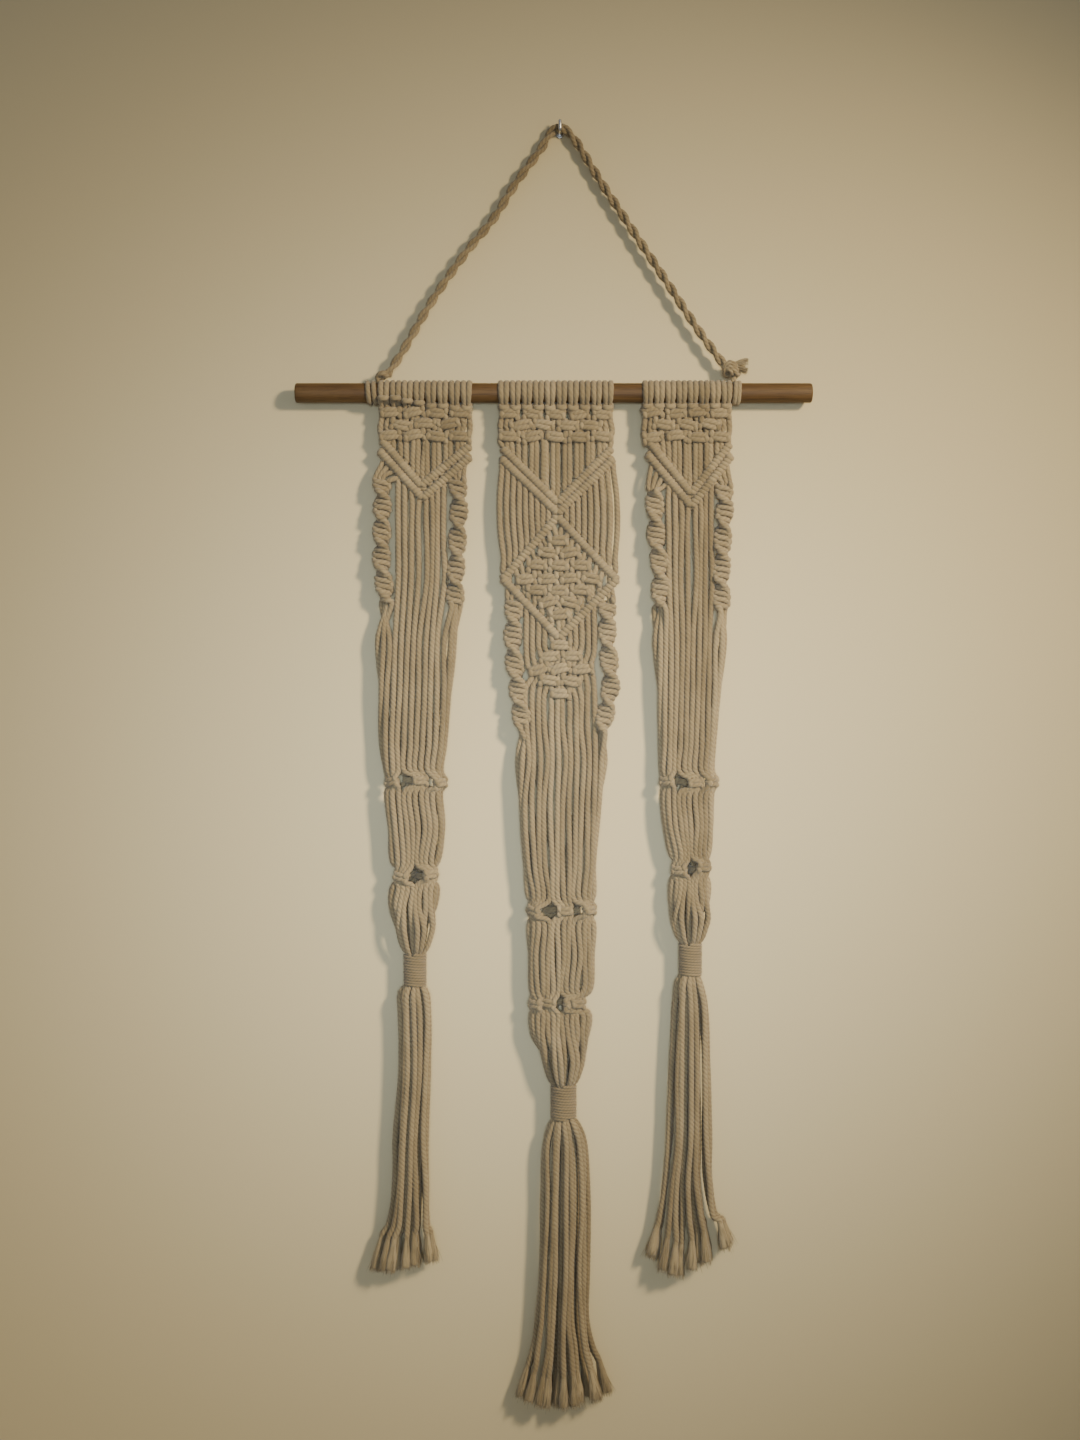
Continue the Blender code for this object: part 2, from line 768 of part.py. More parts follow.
def middle_strands(collection):
    """The middle panel's strands, through both diamonds, four on each edge worked into spirals."""
    panel = PANELS["center"]
    strands = 2 * panel.heads
    made = []
    for index in range(strands):
        share = strand_share(index, strands)
        across = panel.left + (panel.right - panel.left) * (index + 0.5) / strands
        exit_drop = bar_drop(CHEVRONS["center"], across)
        edge = on_diamond(DIAMOND, share, True)
        bow = below(across, exit_drop).lerp(edge, 0.5) + place(BOW * share**3, 0.0, 0.0)
        upper = [below(across, BAND_BOTTOM - 1.5), below(across, exit_drop), bow, edge]
        made.append(swept("strand", upper, collection))
        leaving = on_diamond(DIAMOND, share, False)
        net, radii = net_path("center", index, strands)
        if 4 <= index < strands - 4:
            inner = strand_share(index - 4, strands - 8)
            entry = on_diamond(SMALL_DIAMOND, inner, True) + place(0.0, 0.0, -4.0)
            made.append(swept("strand", [leaving, entry], collection))
            foot = on_diamond(SMALL_DIAMOND, inner, False) + place(0.0, 0.0, 4.0)
            made.append(swept("strand", [foot] + net, collection, radii=[1.0] + radii))
            continue
        spiral = SPIRALS["center"][0 if index < 4 else 1]
        entry = spiral_end(spiral, index % 4, True)
        made.append(swept("strand", [leaving, entry], collection, radii=[1.0, KNOT_SQUEEZE]))
        foot = spiral_end(spiral, index % 4, False)
        made.append(swept("strand", [foot] + net, collection, radii=[KNOT_SQUEEZE] + radii))
    return made


def panel_solid(side):
    panel = PANELS[side]
    name = side + "_panel"
    pieces = pieces_of(name)
    heads = ring("heads", head_rim(panel), HEAD_INSIDE, HEAD_STEPS, round_dowel(), pieces)
    parts = [heads, band(panel, pieces)]
    for bar in CHEVRONS[side]:
        start, end = below(bar.x1, bar.drop1), below(bar.x2, bar.drop2)
        parts.append(hitched_bar(start, end, double_outline, pieces))
    for spiral in SPIRALS[side]:
        parts.append(half_knot_spiral(spiral, pieces))
    if side == "center":
        corners = [below(*corner) for corner in DIAMOND]
        for start, end in zip(corners, corners[1:] + corners[:1]):
            parts.append(hitched_bar(start, end, bar_outline, pieces))
        field = lattice("diamond", DIAMOND, DIAMOND_KNOTS, 1, pieces)
        for across, drop in DIAMOND_HOLES:
            cut_hole(field, across, drop, pieces)
        parts.append(field)
        parts.append(lattice("small_diamond", SMALL_DIAMOND, SMALL_DIAMOND_KNOTS, 0, pieces))
        parts += middle_strands(pieces)
    else:
        parts += side_strands(side, pieces)
    parts += net_knots(2 * panel.heads, LEVELS[side], pieces)
    wrap = WRAPS[side]
    middle = (wrap.top + wrap.bottom) / 2
    parts.append(neck(wrap, pieces))
    parts.append(core(wrap, wrap.top - 1.0, middle - CLEARANCE / 2, pieces))
    return fuse(name, parts, cotton, PANEL_FACES_KEPT)


def gathering_wrap(side):
    wrap = WRAPS[side]
    length = wrap.bottom - wrap.top
    pitch = length / WRAP_TURNS
    rim = [(0.0, wrap.radius - WRAP_GROOVE)]
    for turn in range(WRAP_TURNS):
        rim.append(((turn + 0.5) * pitch, wrap.radius))
        rim.append(((turn + 1.0) * pitch, wrap.radius - WRAP_GROOVE))
    inside = (core_radius(wrap) + CLEARANCE) / math.cos(math.pi / WRAP_STEPS)
    upright = Matrix.Translation(below(wrap.x, wrap.bottom))
    body = ring(side + "_wrap", rim, inside, WRAP_STEPS, upright, hanging)
    body.data.materials.append(cotton)
    return body


def tassel_solid(side):
    """Strands that stand apart below the packed head inside the gathering wrap."""
    name = side + "_tassel"
    pieces = pieces_of(name)
    wrap = WRAPS[side]
    strands = 2 * PANELS[side].heads
    middle = (wrap.top + wrap.bottom) / 2
    parts = [core(wrap, middle + CLEARANCE / 2, wrap.bottom + TASSEL_HEAD, pieces)]
    outer = round(strands * TASSEL_OUTER_SHARE)
    for index in range(strands):
        if index < outer:
            ring_size, angle = 1.0, 2 * math.pi * index / outer
        else:
            ring_size, angle = TASSEL_INNER_RING, 2 * math.pi * (index - outer) / (strands - outer)
        root = (core_radius(wrap) - TASSEL_RADIUS * TASSEL_ROOT - 0.4) * ring_size
        path = [
            below(wrap.x + root * math.sin(angle), wrap.bottom + 1.0, DOWEL_OUT + root * math.cos(angle))
        ]
        for skirt in SKIRTS[side]:
            half = (skirt.right - skirt.left) / 2 - TASSEL_RADIUS
            deep = min(half, TASSEL_DEPTH - TASSEL_RADIUS)
            path.append(
                below(
                    (skirt.left + skirt.right) / 2 + half * ring_size * math.sin(angle),
                    skirt.drop,
                    DOWEL_OUT + deep * ring_size * math.cos(angle),
                )
            )
        path[-1].z += TASSEL_UNEVEN * math.sin(5.1 * index) * MM
        radii = [TASSEL_ROOT] + [1.0] * (len(path) - 2) + [TASSEL_END]
        parts.append(swept("tassel_strand", path, pieces, radii=radii, radius=TASSEL_RADIUS))
    return fuse(name, parts, cotton)


def loop_rim(loops):
    pitch = (loops.right - loops.left) / loops.turns
    rim = [(loops.left, ROPE_LOOP_VALLEY)]
    for turn in range(loops.turns):
        start = loops.left + turn * pitch
        rim.append((start + pitch / 2, ROPE_LOOP_CREST))
        rim.append((start + pitch, ROPE_LOOP_VALLEY))
    return rim


def short_cord(rows, collection):
    points = [place(across, DOWEL_OUT, up) for across, up, radius in rows]
    radii = [radius / STRAND_RADIUS for across, up, radius in rows]
    return swept("short_cord", points, collection, radii=radii, sides=6)


def hanging_cord():
    """The two-ply cord over the hook, with a knot at each end and its loops round the dowel."""
    pieces = pieces_of("hanging_cord")
    route = [place(*point) for point in ROPE_PATH]
    points = through(route, ROPE_HALF_TURN / ROPE_STEPS * MM)
    tilts = [math.pi * step / ROPE_STEPS for step in range(len(points))]
    parts = [swept("rope", points, pieces, tilts=tilts, outline=rope_outline)]
    for lump in (LEFT_LUMP, RIGHT_LUMP):
        size = (lump.width, lump.depth, lump.height)
        parts.append(ball("knot", place(lump.x, DOWEL_OUT, lump.z), size, pieces, 8, 6))
    for loops in (LEFT_LOOPS, RIGHT_LOOPS):
        parts.append(ring("loops", loop_rim(loops), HEAD_INSIDE, HEAD_STEPS, round_dowel(), pieces))
    for rows in (LEFT_LINK, RIGHT_LINK, LOOSE_END):
        parts.append(short_cord(rows, pieces))
    return fuse("hanging_cord", parts, cotton, CORD_FACES_KEPT)


def wall_hook():
    """A round plate on the wall and a wire that comes out under the cord and turns up in front of it."""
    pieces = pieces_of("wall_hook")
    work = bmesh.new()
    bmesh.ops.create_cone(
        work,
        cap_ends=True,
        segments=16,
        radius1=HOOK_PLATE_RADIUS * MM,
        radius2=HOOK_PLATE_RADIUS * MM,
        depth=HOOK_PLATE_DEPTH * MM,
    )
    bmesh.ops.rotate(work, matrix=Matrix.Rotation(math.pi / 2, 3, "X"), verts=work.verts)
    bmesh.ops.translate(work, vec=place(0.0, HOOK_PLATE_DEPTH / 2, 0.0), verts=work.verts)
    mesh = bpy.data.meshes.new("plate")
    work.to_mesh(mesh)
    work.free()
    plate = link(bpy.data.objects.new("plate", mesh), pieces)
    points = [place(0.0, HOOK_PLATE_DEPTH / 2, 0.0)]
    for step in range(5):
        angle = math.pi / 2 * step / 4
        points.append(
            place(
                0.0,
                HOOK_REACH - HOOK_BEND * (1 - math.sin(angle)),
                HOOK_BEND * (1 - math.cos(angle)),
            )
        )
    points += [place(0.0, HOOK_REACH, HOOK_TIP - 1.0), place(0.0, HOOK_REACH, HOOK_TIP)]
    radii = [1.0] * (len(points) - 1) + [0.6]
    wire = swept("wire", points, pieces, radii=radii, radius=HOOK_WIRE_RADIUS, sides=8)
    return fuse("wall_hook", [plate, wire], steel)


cotton = paint("Cotton", (0.42, 0.31, 0.19), 0.9)
wood = paint("Stained wood", (0.16, 0.075, 0.03), 0.5)
steel = paint("Steel", (0.6, 0.6, 0.6), 0.3, 1.0)
spiral_outline = oval("spiral_outline", SPIRAL_WIDTH, SPIRAL_DEPTH, 6)
rope_outline = oval("rope_outline", ROPE_WIDTH, ROPE_DEPTH, 4)
bar_outline = oval("bar_outline", 2 * BAR_RADIUS, 2 * BAR_RADIUS, 6)
double_outline = outline_curve("double_outline", double_corners())

wall_hook()
hanging_cord()
dowel()
for panel_side in PANELS:
    panel_solid(panel_side)
    gathering_wrap(panel_side)
    tassel_solid(panel_side)
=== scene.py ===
# %% [markdown]
# # A macrame wall hanging
# Three cotton panels hang from a wooden dowel, and a twisted cord holds the dowel on a wall hook. The
# real object is only cord and knots, so this lesson lays out the way of every cord first, and then
# turns all of the ways into three-ply rope. The frame is the plain solid model that the pieces replace.

# %% Load the frame
import math

import bmesh
import bpy
import numpy as np
from mathutils import Matrix, Vector


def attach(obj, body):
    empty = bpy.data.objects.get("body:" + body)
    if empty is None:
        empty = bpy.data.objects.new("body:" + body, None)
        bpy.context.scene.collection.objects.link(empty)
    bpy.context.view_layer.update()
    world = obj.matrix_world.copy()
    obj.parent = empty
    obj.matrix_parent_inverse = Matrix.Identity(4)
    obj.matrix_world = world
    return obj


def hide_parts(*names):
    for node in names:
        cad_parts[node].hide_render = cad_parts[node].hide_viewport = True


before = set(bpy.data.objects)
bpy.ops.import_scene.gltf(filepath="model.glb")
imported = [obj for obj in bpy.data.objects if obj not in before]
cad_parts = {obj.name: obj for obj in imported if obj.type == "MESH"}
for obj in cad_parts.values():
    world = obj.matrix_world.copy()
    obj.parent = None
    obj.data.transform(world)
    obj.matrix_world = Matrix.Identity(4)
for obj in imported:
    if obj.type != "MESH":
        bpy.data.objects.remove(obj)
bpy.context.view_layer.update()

# %% [markdown]
# ## Sizes
# A wall hanging is laid out flat, so its sizes are tables of places across the wall and drops below the
# dowel, in millimetres. The third number of a place is how far it stands out from the wall. Named
# columns keep the tables readable.

# %% Sizes of the cord, the dowel and the panels
from collections import namedtuple

MM = 0.001
CORD = 2.6
DOWEL_DROP = 228.8
DOWEL_OUT = 13.0
DOWEL_RADIUS = 8.4
DOWEL_LEFT = -230.2
DOWEL_RIGHT = 219.1
SIDES = ("left", "center", "right")

Panel = namedtuple("Panel", "left right heads rows")
Line = namedtuple("Line", "x1 drop1 x2 drop2")
Level = namedtuple("Level", "drop left right curl depth knots", defaults=((),))
Wrap = namedtuple("Wrap", "x top bottom radius")
Skirt = namedtuple("Skirt", "drop left right")

# rows are the drops of the three rows of square knots under the heads
PANELS = {
    "left": Panel(-158.0, -76.3, 8, (17.3, 27.4, 37.6)),
    "center": Panel(-53.9, 46.6, 10, (18.6, 28.2, 37.9)),
    "right": Panel(71.5, 149.2, 8, (17.4, 27.8, 38.4)),
}
for side in SIDES:
    panel = PANELS[side]
    print(side, "panel:", 2 * panel.heads, "strands over", round(panel.right - panel.left, 1), "mm")

# %% [markdown]
# ## Ways of the cords
# A way is a list of points with the cord's thickness at each one. Knots are drawn with few points, so a
# smooth curve must pass through all of them without swinging wide. The centripetal Catmull-Rom curve
# does this: its steps grow with the square root of the distance between points.

# %% Smooth ways
STEP = 1.9
BEND_STEP = 0.42


def at(across, drop, out=DOWEL_OUT, size=1.0, pressed=0.0):
    """One point of a way in millimetres, the cord's thickness there, and how far its plies are pressed."""
    return (across, drop, out, size, pressed)


def smooth(way, spacing=STEP):
    """Points on the smooth curve through a way's points, closer in its bends, and how far along each is."""
    points = np.array(way, float)
    apart = np.linalg.norm(np.diff(points[:, :3], axis=0), axis=1)
    points = points[np.concatenate([[True], apart > 0.05])]
    padded = np.vstack([2 * points[0] - points[1], points, 2 * points[-1] - points[-2]])
    pieces = []
    for a, b, c, d in zip(padded, padded[1:], padded[2:], padded[3:]):
        t1 = max(np.linalg.norm(b[:3] - a[:3]), 1e-3) ** 0.5
        t2 = t1 + max(np.linalg.norm(c[:3] - b[:3]), 1e-3) ** 0.5
        t3 = t2 + max(np.linalg.norm(d[:3] - c[:3]), 1e-3) ** 0.5
        count = max(2, int(np.linalg.norm(c[:3] - b[:3]) / 0.45))
        t = np.linspace(t1, t2, count, endpoint=False)[:, None]
        first = a + (b - a) * t / t1
        second = b + (c - b) * (t - t1) / (t2 - t1)
        third = c + (d - c) * (t - t2) / (t3 - t2)
        left = first + (second - first) * t / t2
        right = second + (third - second) * (t - t1) / (t3 - t1)
        pieces.append(left + (right - left) * (t - t1) / (t2 - t1))
    fine = np.vstack(pieces + [points[-1:]])
    fine[:, 3] = fine[:, 3].clip(0.15, 1.6)
    legs = np.diff(fine[:, :3], axis=0)
    sizes = np.linalg.norm(legs, axis=1) + 1e-9
    heading = legs / sizes[:, None]
    bend = np.arccos(np.clip((heading[1:] * heading[:-1]).sum(axis=1), -1, 1))
    bend = np.convolve(np.concatenate([[0], bend]), np.ones(3) / 3, "same")
    steps = np.concatenate([[0], np.cumsum(np.maximum(sizes / spacing, bend / BEND_STEP))])
    length = np.concatenate([[0], np.cumsum(sizes)])
    wanted = np.linspace(0, steps[-1], max(3, round(steps[-1])))
    line = np.stack([np.interp(wanted, steps, fine[:, k]) for k in range(5)], axis=1)
    return line, np.interp(wanted, steps, length)


def in_room(points):
    """Millimetres across, down and out as metres in the frame."""
    return np.stack([points[:, 0], -points[:, 2], -DOWEL_DROP - points[:, 1]], axis=1) * MM


def uneven(mark):
    """A small unevenness between -1 and 1 that is always the same for the same mark."""
    return math.sin(12.9898 * mark + 4.1) * math.cos(3.7 * mark)


bend_test, bend_along = smooth([at(0, 0), at(10, 0), at(10, 10)], 1.0)
print("a test bend of", len(bend_test), "points is", round(bend_along[-1], 1), "mm long")

# %% [markdown]
# ## Three-ply cord
# Macrame cord is three soft plies laid round each other, and the diagonal grooves between the plies are
# what the eye reads as rope. A bevelled curve has no plies, and a displaced tube needs far more faces,
# so here one section with three lobes is carried along each way and turned a little at every step. The
# faces run along the plies, so few steps are enough. Where a cord is pressed in a knot, its plies are
# flat and turn more slowly, and a cut end is drawn closed. Two values are kept on each point for the
# material: a shade, with how deep it lies in a groove, for the painted shade in the grooves, which
# pressed plies lose, and the tint of its strand; and a place along and round the cord. Cords aren't
# pushed apart, so in tight knots they run into each other.

# %% Lay cords
PLY_TURN = 12.0
WALL_GAP = 0.3
CLOSED_END = 0.04
LOBES = np.array([0.83, 0.985, 0.985] * 3)
LOBE_ANGLES = np.radians([-60, -21, 21, 60, 99, 141, 180, 219, 261])
# GROOVES marks the groove points of each ring, where the material paints shade between the plies.
GROOVES = np.array([1.0, 0.0, 0.0] * 3)


def frames(points):
    """A steady pair of cross directions along a curve, by the double reflection rule."""
    ahead = np.gradient(points, axis=0)
    ahead /= np.linalg.norm(ahead, axis=1, keepdims=True)
    side = np.cross(ahead[0], [0.31, 0.87, 0.38])
    side /= np.linalg.norm(side)
    sides = [side]
    for k in range(len(points) - 1):
        step = points[k + 1] - points[k]
        size = step @ step
        turned = side - 2 / size * (step @ side) * step
        moved = ahead[k] - 2 / size * (step @ ahead[k]) * step
        gap = ahead[k + 1] - moved
        size = gap @ gap
        side = turned - (2 / size * (gap @ turned) * gap if size > 1e-12 else 0)
        sides.append(side)
    sides = np.array(sides)
    return sides, np.cross(ahead, sides)


def lay(name, ways, radius=CORD, turn=PLY_TURN, spacing=STEP):
    """One mesh of all the cords along these ways."""
    spots, faces, notes, coats = [], [], [], []
    start, total = 0, 0.0
    count = len(LOBE_ANGLES)
    for number, way in enumerate(ways):
        line, along = smooth(way, spacing)
        line[:, 2] = np.maximum(line[:, 2], radius * line[:, 3] + WALL_GAP)
        total += along[-1]
        middle = in_room(line)
        across, up = frames(middle)
        phase = 2.399 * number
        # Plies that are pulled flat turn more slowly, so that the faces of a tight bend don't fold.
        slow = 1 - 0.8 * (2 * line[:, 4] - 0.8).clip(0, 1)
        turns = np.concatenate([[0], np.cumsum(np.diff(along) * slow[1:])]) / turn
        turned = LOBE_ANGLES[None, :] - 2 * math.pi * turns[:, None] + phase
        loose = 1 - line[:, 4:5].clip(0, 1)
        size = radius * MM * line[:, 3:4] * (1 - (1 - LOBES[None, :]) * loose)
        size[[0, -1]] *= CLOSED_END
        ring = middle[:, None] + size[..., None] * (
            np.cos(turned)[..., None] * across[:, None] + np.sin(turned)[..., None] * up[:, None]
        )
        spots.append(ring.reshape(-1, 3))
        rows = np.arange(len(line) - 1)[:, None] * count + start
        here, there = np.arange(count)[None], (np.arange(count)[None] + 1) % count
        quads = np.stack([rows + here, rows + there, rows + count + there, rows + count + here], axis=2)
        faces.append(quads.reshape(-1, 4))
        note = np.zeros((len(line), count, 4))
        # Red: painted shade in the grooves, less where the plies are pressed flat. Green: the strand's tint.
        note[..., 0] = GROOVES[None, :] * loose
        note[..., 1] = (number * 0.618 + len(way) * 0.37) % 1.0
        note[..., 3] = 1.0
        notes.append(note.reshape(-1, 4))
        coat = np.zeros((len(line), count, 3))
        coat[..., 0] = np.cos(LOBE_ANGLES)[None, :] + 7.3 * number
        coat[..., 1] = np.sin(LOBE_ANGLES)[None, :]
        coat[..., 2] = along[:, None] / radius
        coats.append(coat.reshape(-1, 3))
        start += len(line) * count
    return cloth_mesh(name, np.vstack(spots), np.vstack(faces), np.vstack(notes), np.vstack(coats), total)


def add_object(name, data):
    """A new object in the scene that shows this data."""
    made = bpy.data.objects.new(name, data)
    bpy.context.scene.collection.objects.link(made)
    return made


def cloth_mesh(name, spots, faces, notes, coats, total):
    """Makes the object of cords or fibres, with its two values on each point."""
    mesh = bpy.data.meshes.new(name)
    mesh.vertices.add(len(spots))
    mesh.vertices.foreach_set("co", spots.astype(np.float32).ravel())
    corners = faces.shape[1]
    mesh.loops.add(faces.size)
    mesh.loops.foreach_set("vertex_index", faces.astype(np.int32).ravel())
    mesh.polygons.add(len(faces))
    mesh.polygons.foreach_set("loop_start", np.arange(0, faces.size, corners, dtype=np.int32))
    mesh.update(calc_edges=True)
    shade = mesh.attributes.new("cord_shade", "FLOAT_COLOR", "POINT")
    shade.data.foreach_set("color", notes.astype(np.float32).ravel())
    coat = mesh.attributes.new("cord_lay", "FLOAT_VECTOR", "POINT")
    coat.data.foreach_set("vector", coats.astype(np.float32).ravel())
    mesh.shade_smooth()
    made = add_object(name, mesh)
    print(f"{name}: {total / 1000:.2f} m of cord, {len(faces) * (corners - 2)} triangles")
    return made

# %% [markdown]
# ## Lark's heads
# Each cord is folded in half over the dowel and pulled through its own fold. From the front it shows two
# wraps over the wood and, under them, a short bar: the fold itself. One way runs from the left strand
# up through the wrap, round the back, along the bar and back down the other side, so the ply runs on
# without a break. The wraps are drawn together where they go behind the bar, which leaves the small
# dark gaps between the heads.

# %% Heads
WRAP_OUT = DOWEL_RADIUS + 0.2
WRAP_SIZE = 1.03
FOLD_SIZE = 0.96

# How far below the middle of the dowel the fold of each head lies, left to right
FOLDS = {
    "left": (6.1, 6.1, 8.4, 9.8, 12.0, 12.2, 13.9, 14.1),
    "center": (13.5, 13.8, 13.6, 13.6, 14.2, 13.3, 14.0, 13.7, 13.9, 13.6),
    "right": (12.4, 12.2, 12.3, 12.4, 12.0, 12.6, 12.1, 12.2),
}


def around(x, degrees, reach=WRAP_OUT, size=WRAP_SIZE):
    """A point of a wrap round the dowel: 0 degrees faces out, 90 is the top."""
    turn = math.radians(degrees)
    return at(x, -reach * math.sin(turn), DOWEL_OUT + reach * math.cos(turn), size, 0.5)


def half_head(x, side, lane, low):
    """From the middle of the fold round the dowel and down to where the strand leaves."""
    lean = side * lane
    front = WRAP_OUT + 2.4
    out = DOWEL_OUT + math.sqrt(max(front**2 - low**2, 6.0)) + 1.9
    return [
        at(x, low + 0.2, out, FOLD_SIZE, 0.6),
        at(x + side * 1.9, low, out - 0.2, FOLD_SIZE, 0.6),
        at(x + side * 3.1, low - 0.8, out - 2.2, 0.88, 0.5),
        at(x + side * 3.0, max(low - 2.0, 9.4), DOWEL_OUT + 2.2, 0.8),
        around(x + 1.15 * lean, -130),
        around(x + 1.05 * lean, 180),
        around(x + 1.05 * lean, 135),
        around(x + 1.02 * lean, 90),
        around(x + 1.0 * lean, 55),
        around(x + 0.98 * lean, 25),
        around(x + 0.93 * lean, 0),
        around(x + 0.86 * lean, -28, size=1.0),
        around(x + 0.78 * lean, -52, size=0.9),
        at(x + 0.76 * lean, 10.0, DOWEL_OUT + 2.4, 0.82),
        at(x + 0.9 * lean, 13.6, DOWEL_OUT + 0.6, 0.86),
    ]


def lanes(panel):
    """Where each strand hangs from the heads, left to right."""
    pitch = (panel.right - panel.left) / (2 * panel.heads)
    return [panel.left + (index + 0.5) * pitch for index in range(2 * panel.heads)]


ways = {side: [] for side in SIDES}
for side in SIDES:
    hang = lanes(PANELS[side])
    for index, x in enumerate(hang):
        partner = hang[index + 1] if index % 2 == 0 else hang[index - 1]
        turned = -1 if index % 2 == 0 else 1
        ways[side].append(half_head((x + partner) / 2, turned, abs(x - partner) / 2, FOLDS[side][index // 2]))
    print(side, "heads:", len(ways[side]) // 2)

# %% [markdown]
# ## Square knots
# A square knot has four strands. The two middle ones hang straight, and the outer two are crossed over
# and under them, first from one side and then from the other. In front this shows as two short bars
# and one small upright loop. The points below are the ways of the two working strands in a knot that
# reaches one unit each way, so that the same knot serves for the wide rows and for the tight net.

# %% One square knot
FRONT_WORKER = [
    (-1.0, -1.0, 0.0),
    (-0.98, -0.66, 0.3),
    (-0.78, -0.38, 0.75),
    (-0.35, -0.42, 1.0),
    (0.2, -0.42, 1.03),
    (0.66, -0.3, 0.7),
    (0.97, -0.02, -0.2),
    (0.72, 0.28, 0.7),
    (0.2, 0.4, 1.03),
    (-0.35, 0.43, 1.0),
    (-0.78, 0.4, 0.6),
    (-0.98, 0.66, 0.1),
    (-1.0, 1.0, 0.0),
]
BACK_WORKER = [
    (1.0, -1.0, 0.0),
    (0.98, -0.62, 0.75),
    (0.95, -0.25, 0.8),
    (0.72, -0.05, -0.5),
    (0.3, -0.1, -1.0),
    (-0.4, -0.1, -1.0),
    (-0.9, -0.16, -0.2),
    (-0.9, 0.04, 0.95),
    (-0.92, 0.34, 0.85),
    (-0.7, 0.5, -0.5),
    (-0.1, 0.42, -1.0),
    (0.55, 0.38, -0.9),
    (0.95, 0.45, 0.1),
    (0.98, 0.66, 0.75),
    (1.0, 1.0, 0.0),
]


def knot_points(order, half, height, depth, middle, size, flip=False):
    """One strand's points in a square knot, as (aside, down, forward, size) from the knot's middle."""
    if order in (1, 2):
        aside = middle * (order * 2 - 3)
        return [(aside, -height, 0.0, size), (aside, 0.0, 0.0, 0.9 * size), (aside, height, 0.0, size)]
    front = (order == 0) != flip
    rows = FRONT_WORKER if front else BACK_WORKER
    mirror = -1 if flip else 1
    return [(mirror * a * half, b * height, c * depth, size) for a, b, c in rows]


def wide_knot(order, x, drop, pitch, flip, squeeze=1.0, height=5.0, size=1.0, lean=0.0):
    """A square knot in a flat row, as wide as its four strands, and never quite straight."""
    tilt = lean + 0.25 * uneven(0.31 * x + drop)
    sag = 1.2 * uneven(0.47 * x - 1.3 * drop)
    x += 0.7 * uneven(x + 0.7 * drop)
    drop += 0.6 * uneven(0.9 * x - drop)
    half = 1.5 * pitch * squeeze
    placed = []
    for a, b, c, thick in knot_points(order, half, height, 3.3, 0.38 * pitch, size, flip):
        bent = sag * (1 - (a / half) ** 2)
        placed.append(at(x + a - b * tilt, drop + b + a * tilt + bent, DOWEL_OUT + c, thick, 0.4))
    return placed


def knot_row(panel, strand_ways, drop, first, flip=False, squeeze=1.0):
    """Ties one row of square knots, from the strand numbered first on."""
    xs = lanes(panel)
    for start in range(first, len(strand_ways) - first, 4):
        middle = sum(xs[start : start + 4]) / 4
        pitch = (xs[start + 3] - xs[start]) / 3
        for order in range(4):
            turned = flip != (uneven(start + 1.3 * drop) > 0.25)
            strand_ways[start + order] += wide_knot(order, middle, drop, pitch, turned, squeeze)


SQUEEZE = {"left": (1.05, 1.12, 1.07), "center": (0.94, 1.12, 1.07), "right": (1.05, 1.12, 1.07)}
for side in SIDES:
    panel = PANELS[side]
    for number, drop in enumerate(panel.rows):
        first = 2 if number == 1 else 0
        knot_row(panel, ways[side], drop, first, flip=number == 1, squeeze=SQUEEZE[side][number])
        if first:
            for index in (0, 1, -2, -1):
                bulge = 0.5 if index < 0 else -0.5
                ways[side][index].append(at(lanes(panel)[index] + bulge, drop, DOWEL_OUT + 0.8, 1.06))
    print(side, "band:", panel.heads // 2 * 2 + panel.heads // 2 - 1, "square knots")

# %% [markdown]
# ## Bars of clove hitches
# The slanted bars are made on a carrier: one strand is laid across the others, and each of them is
# wound round it twice. The two windings side by side are the beads of the bar. Each strand comes down
# behind its place on the bar, is wound up in front of the carrier twice, and leaves behind and below.

# %% Bars
BAR_WIND = 1.7
BAR_DEEP = 2.2
BAR_SIZE = 0.93

# The inner and the outer bar of each V: its left leg and its right leg, both towards the middle
CHEVRONS = {
    "left": [
        (Line(-154.6, 41.6, -121.2, 80.5), Line(-79.2, 46.6, -121.2, 80.5)),
        (Line(-156.6, 50.8, -119.6, 91.6), Line(-79.0, 56.0, -119.6, 91.6)),
    ],
    "center": [
        (Line(-49.6, 48.6, -2.2, 95.6), Line(44.0, 48.8, -2.2, 95.6)),
        (Line(-50.6, 57.6, -2.2, 104.4), Line(45.6, 58.0, -2.2, 104.4)),
    ],
    "right": [
        (Line(77.6, 43.0, 114.0, 87.6), Line(147.2, 45.0, 114.0, 87.6)),
        (Line(76.4, 54.0, 114.0, 98.4), Line(148.4, 55.2, 114.0, 98.4)),
    ],
}
# Degrees round the carrier: 90 is behind it, 180 below, 270 in front and 360 above
WINDING = (
    40, 90, 135, 180, 225, 248, 270, 292, 315, 360, 405, 450,
    495, 540, 585, 608, 630, 652, 675, 720, 765, 810, 850,
)
CARRIER_POINTS = 9
CARRIER_CORD = 0.6
CARRIER_BACK = 0.5
CARRIER_TUCK = 2.0
carriers = {side: [] for side in SIDES}


def bar_drop(line, x):
    """How far down a bar is at one place across."""
    return line.drop1 + (x - line.x1) * (line.drop2 - line.drop1) / (line.x2 - line.x1)


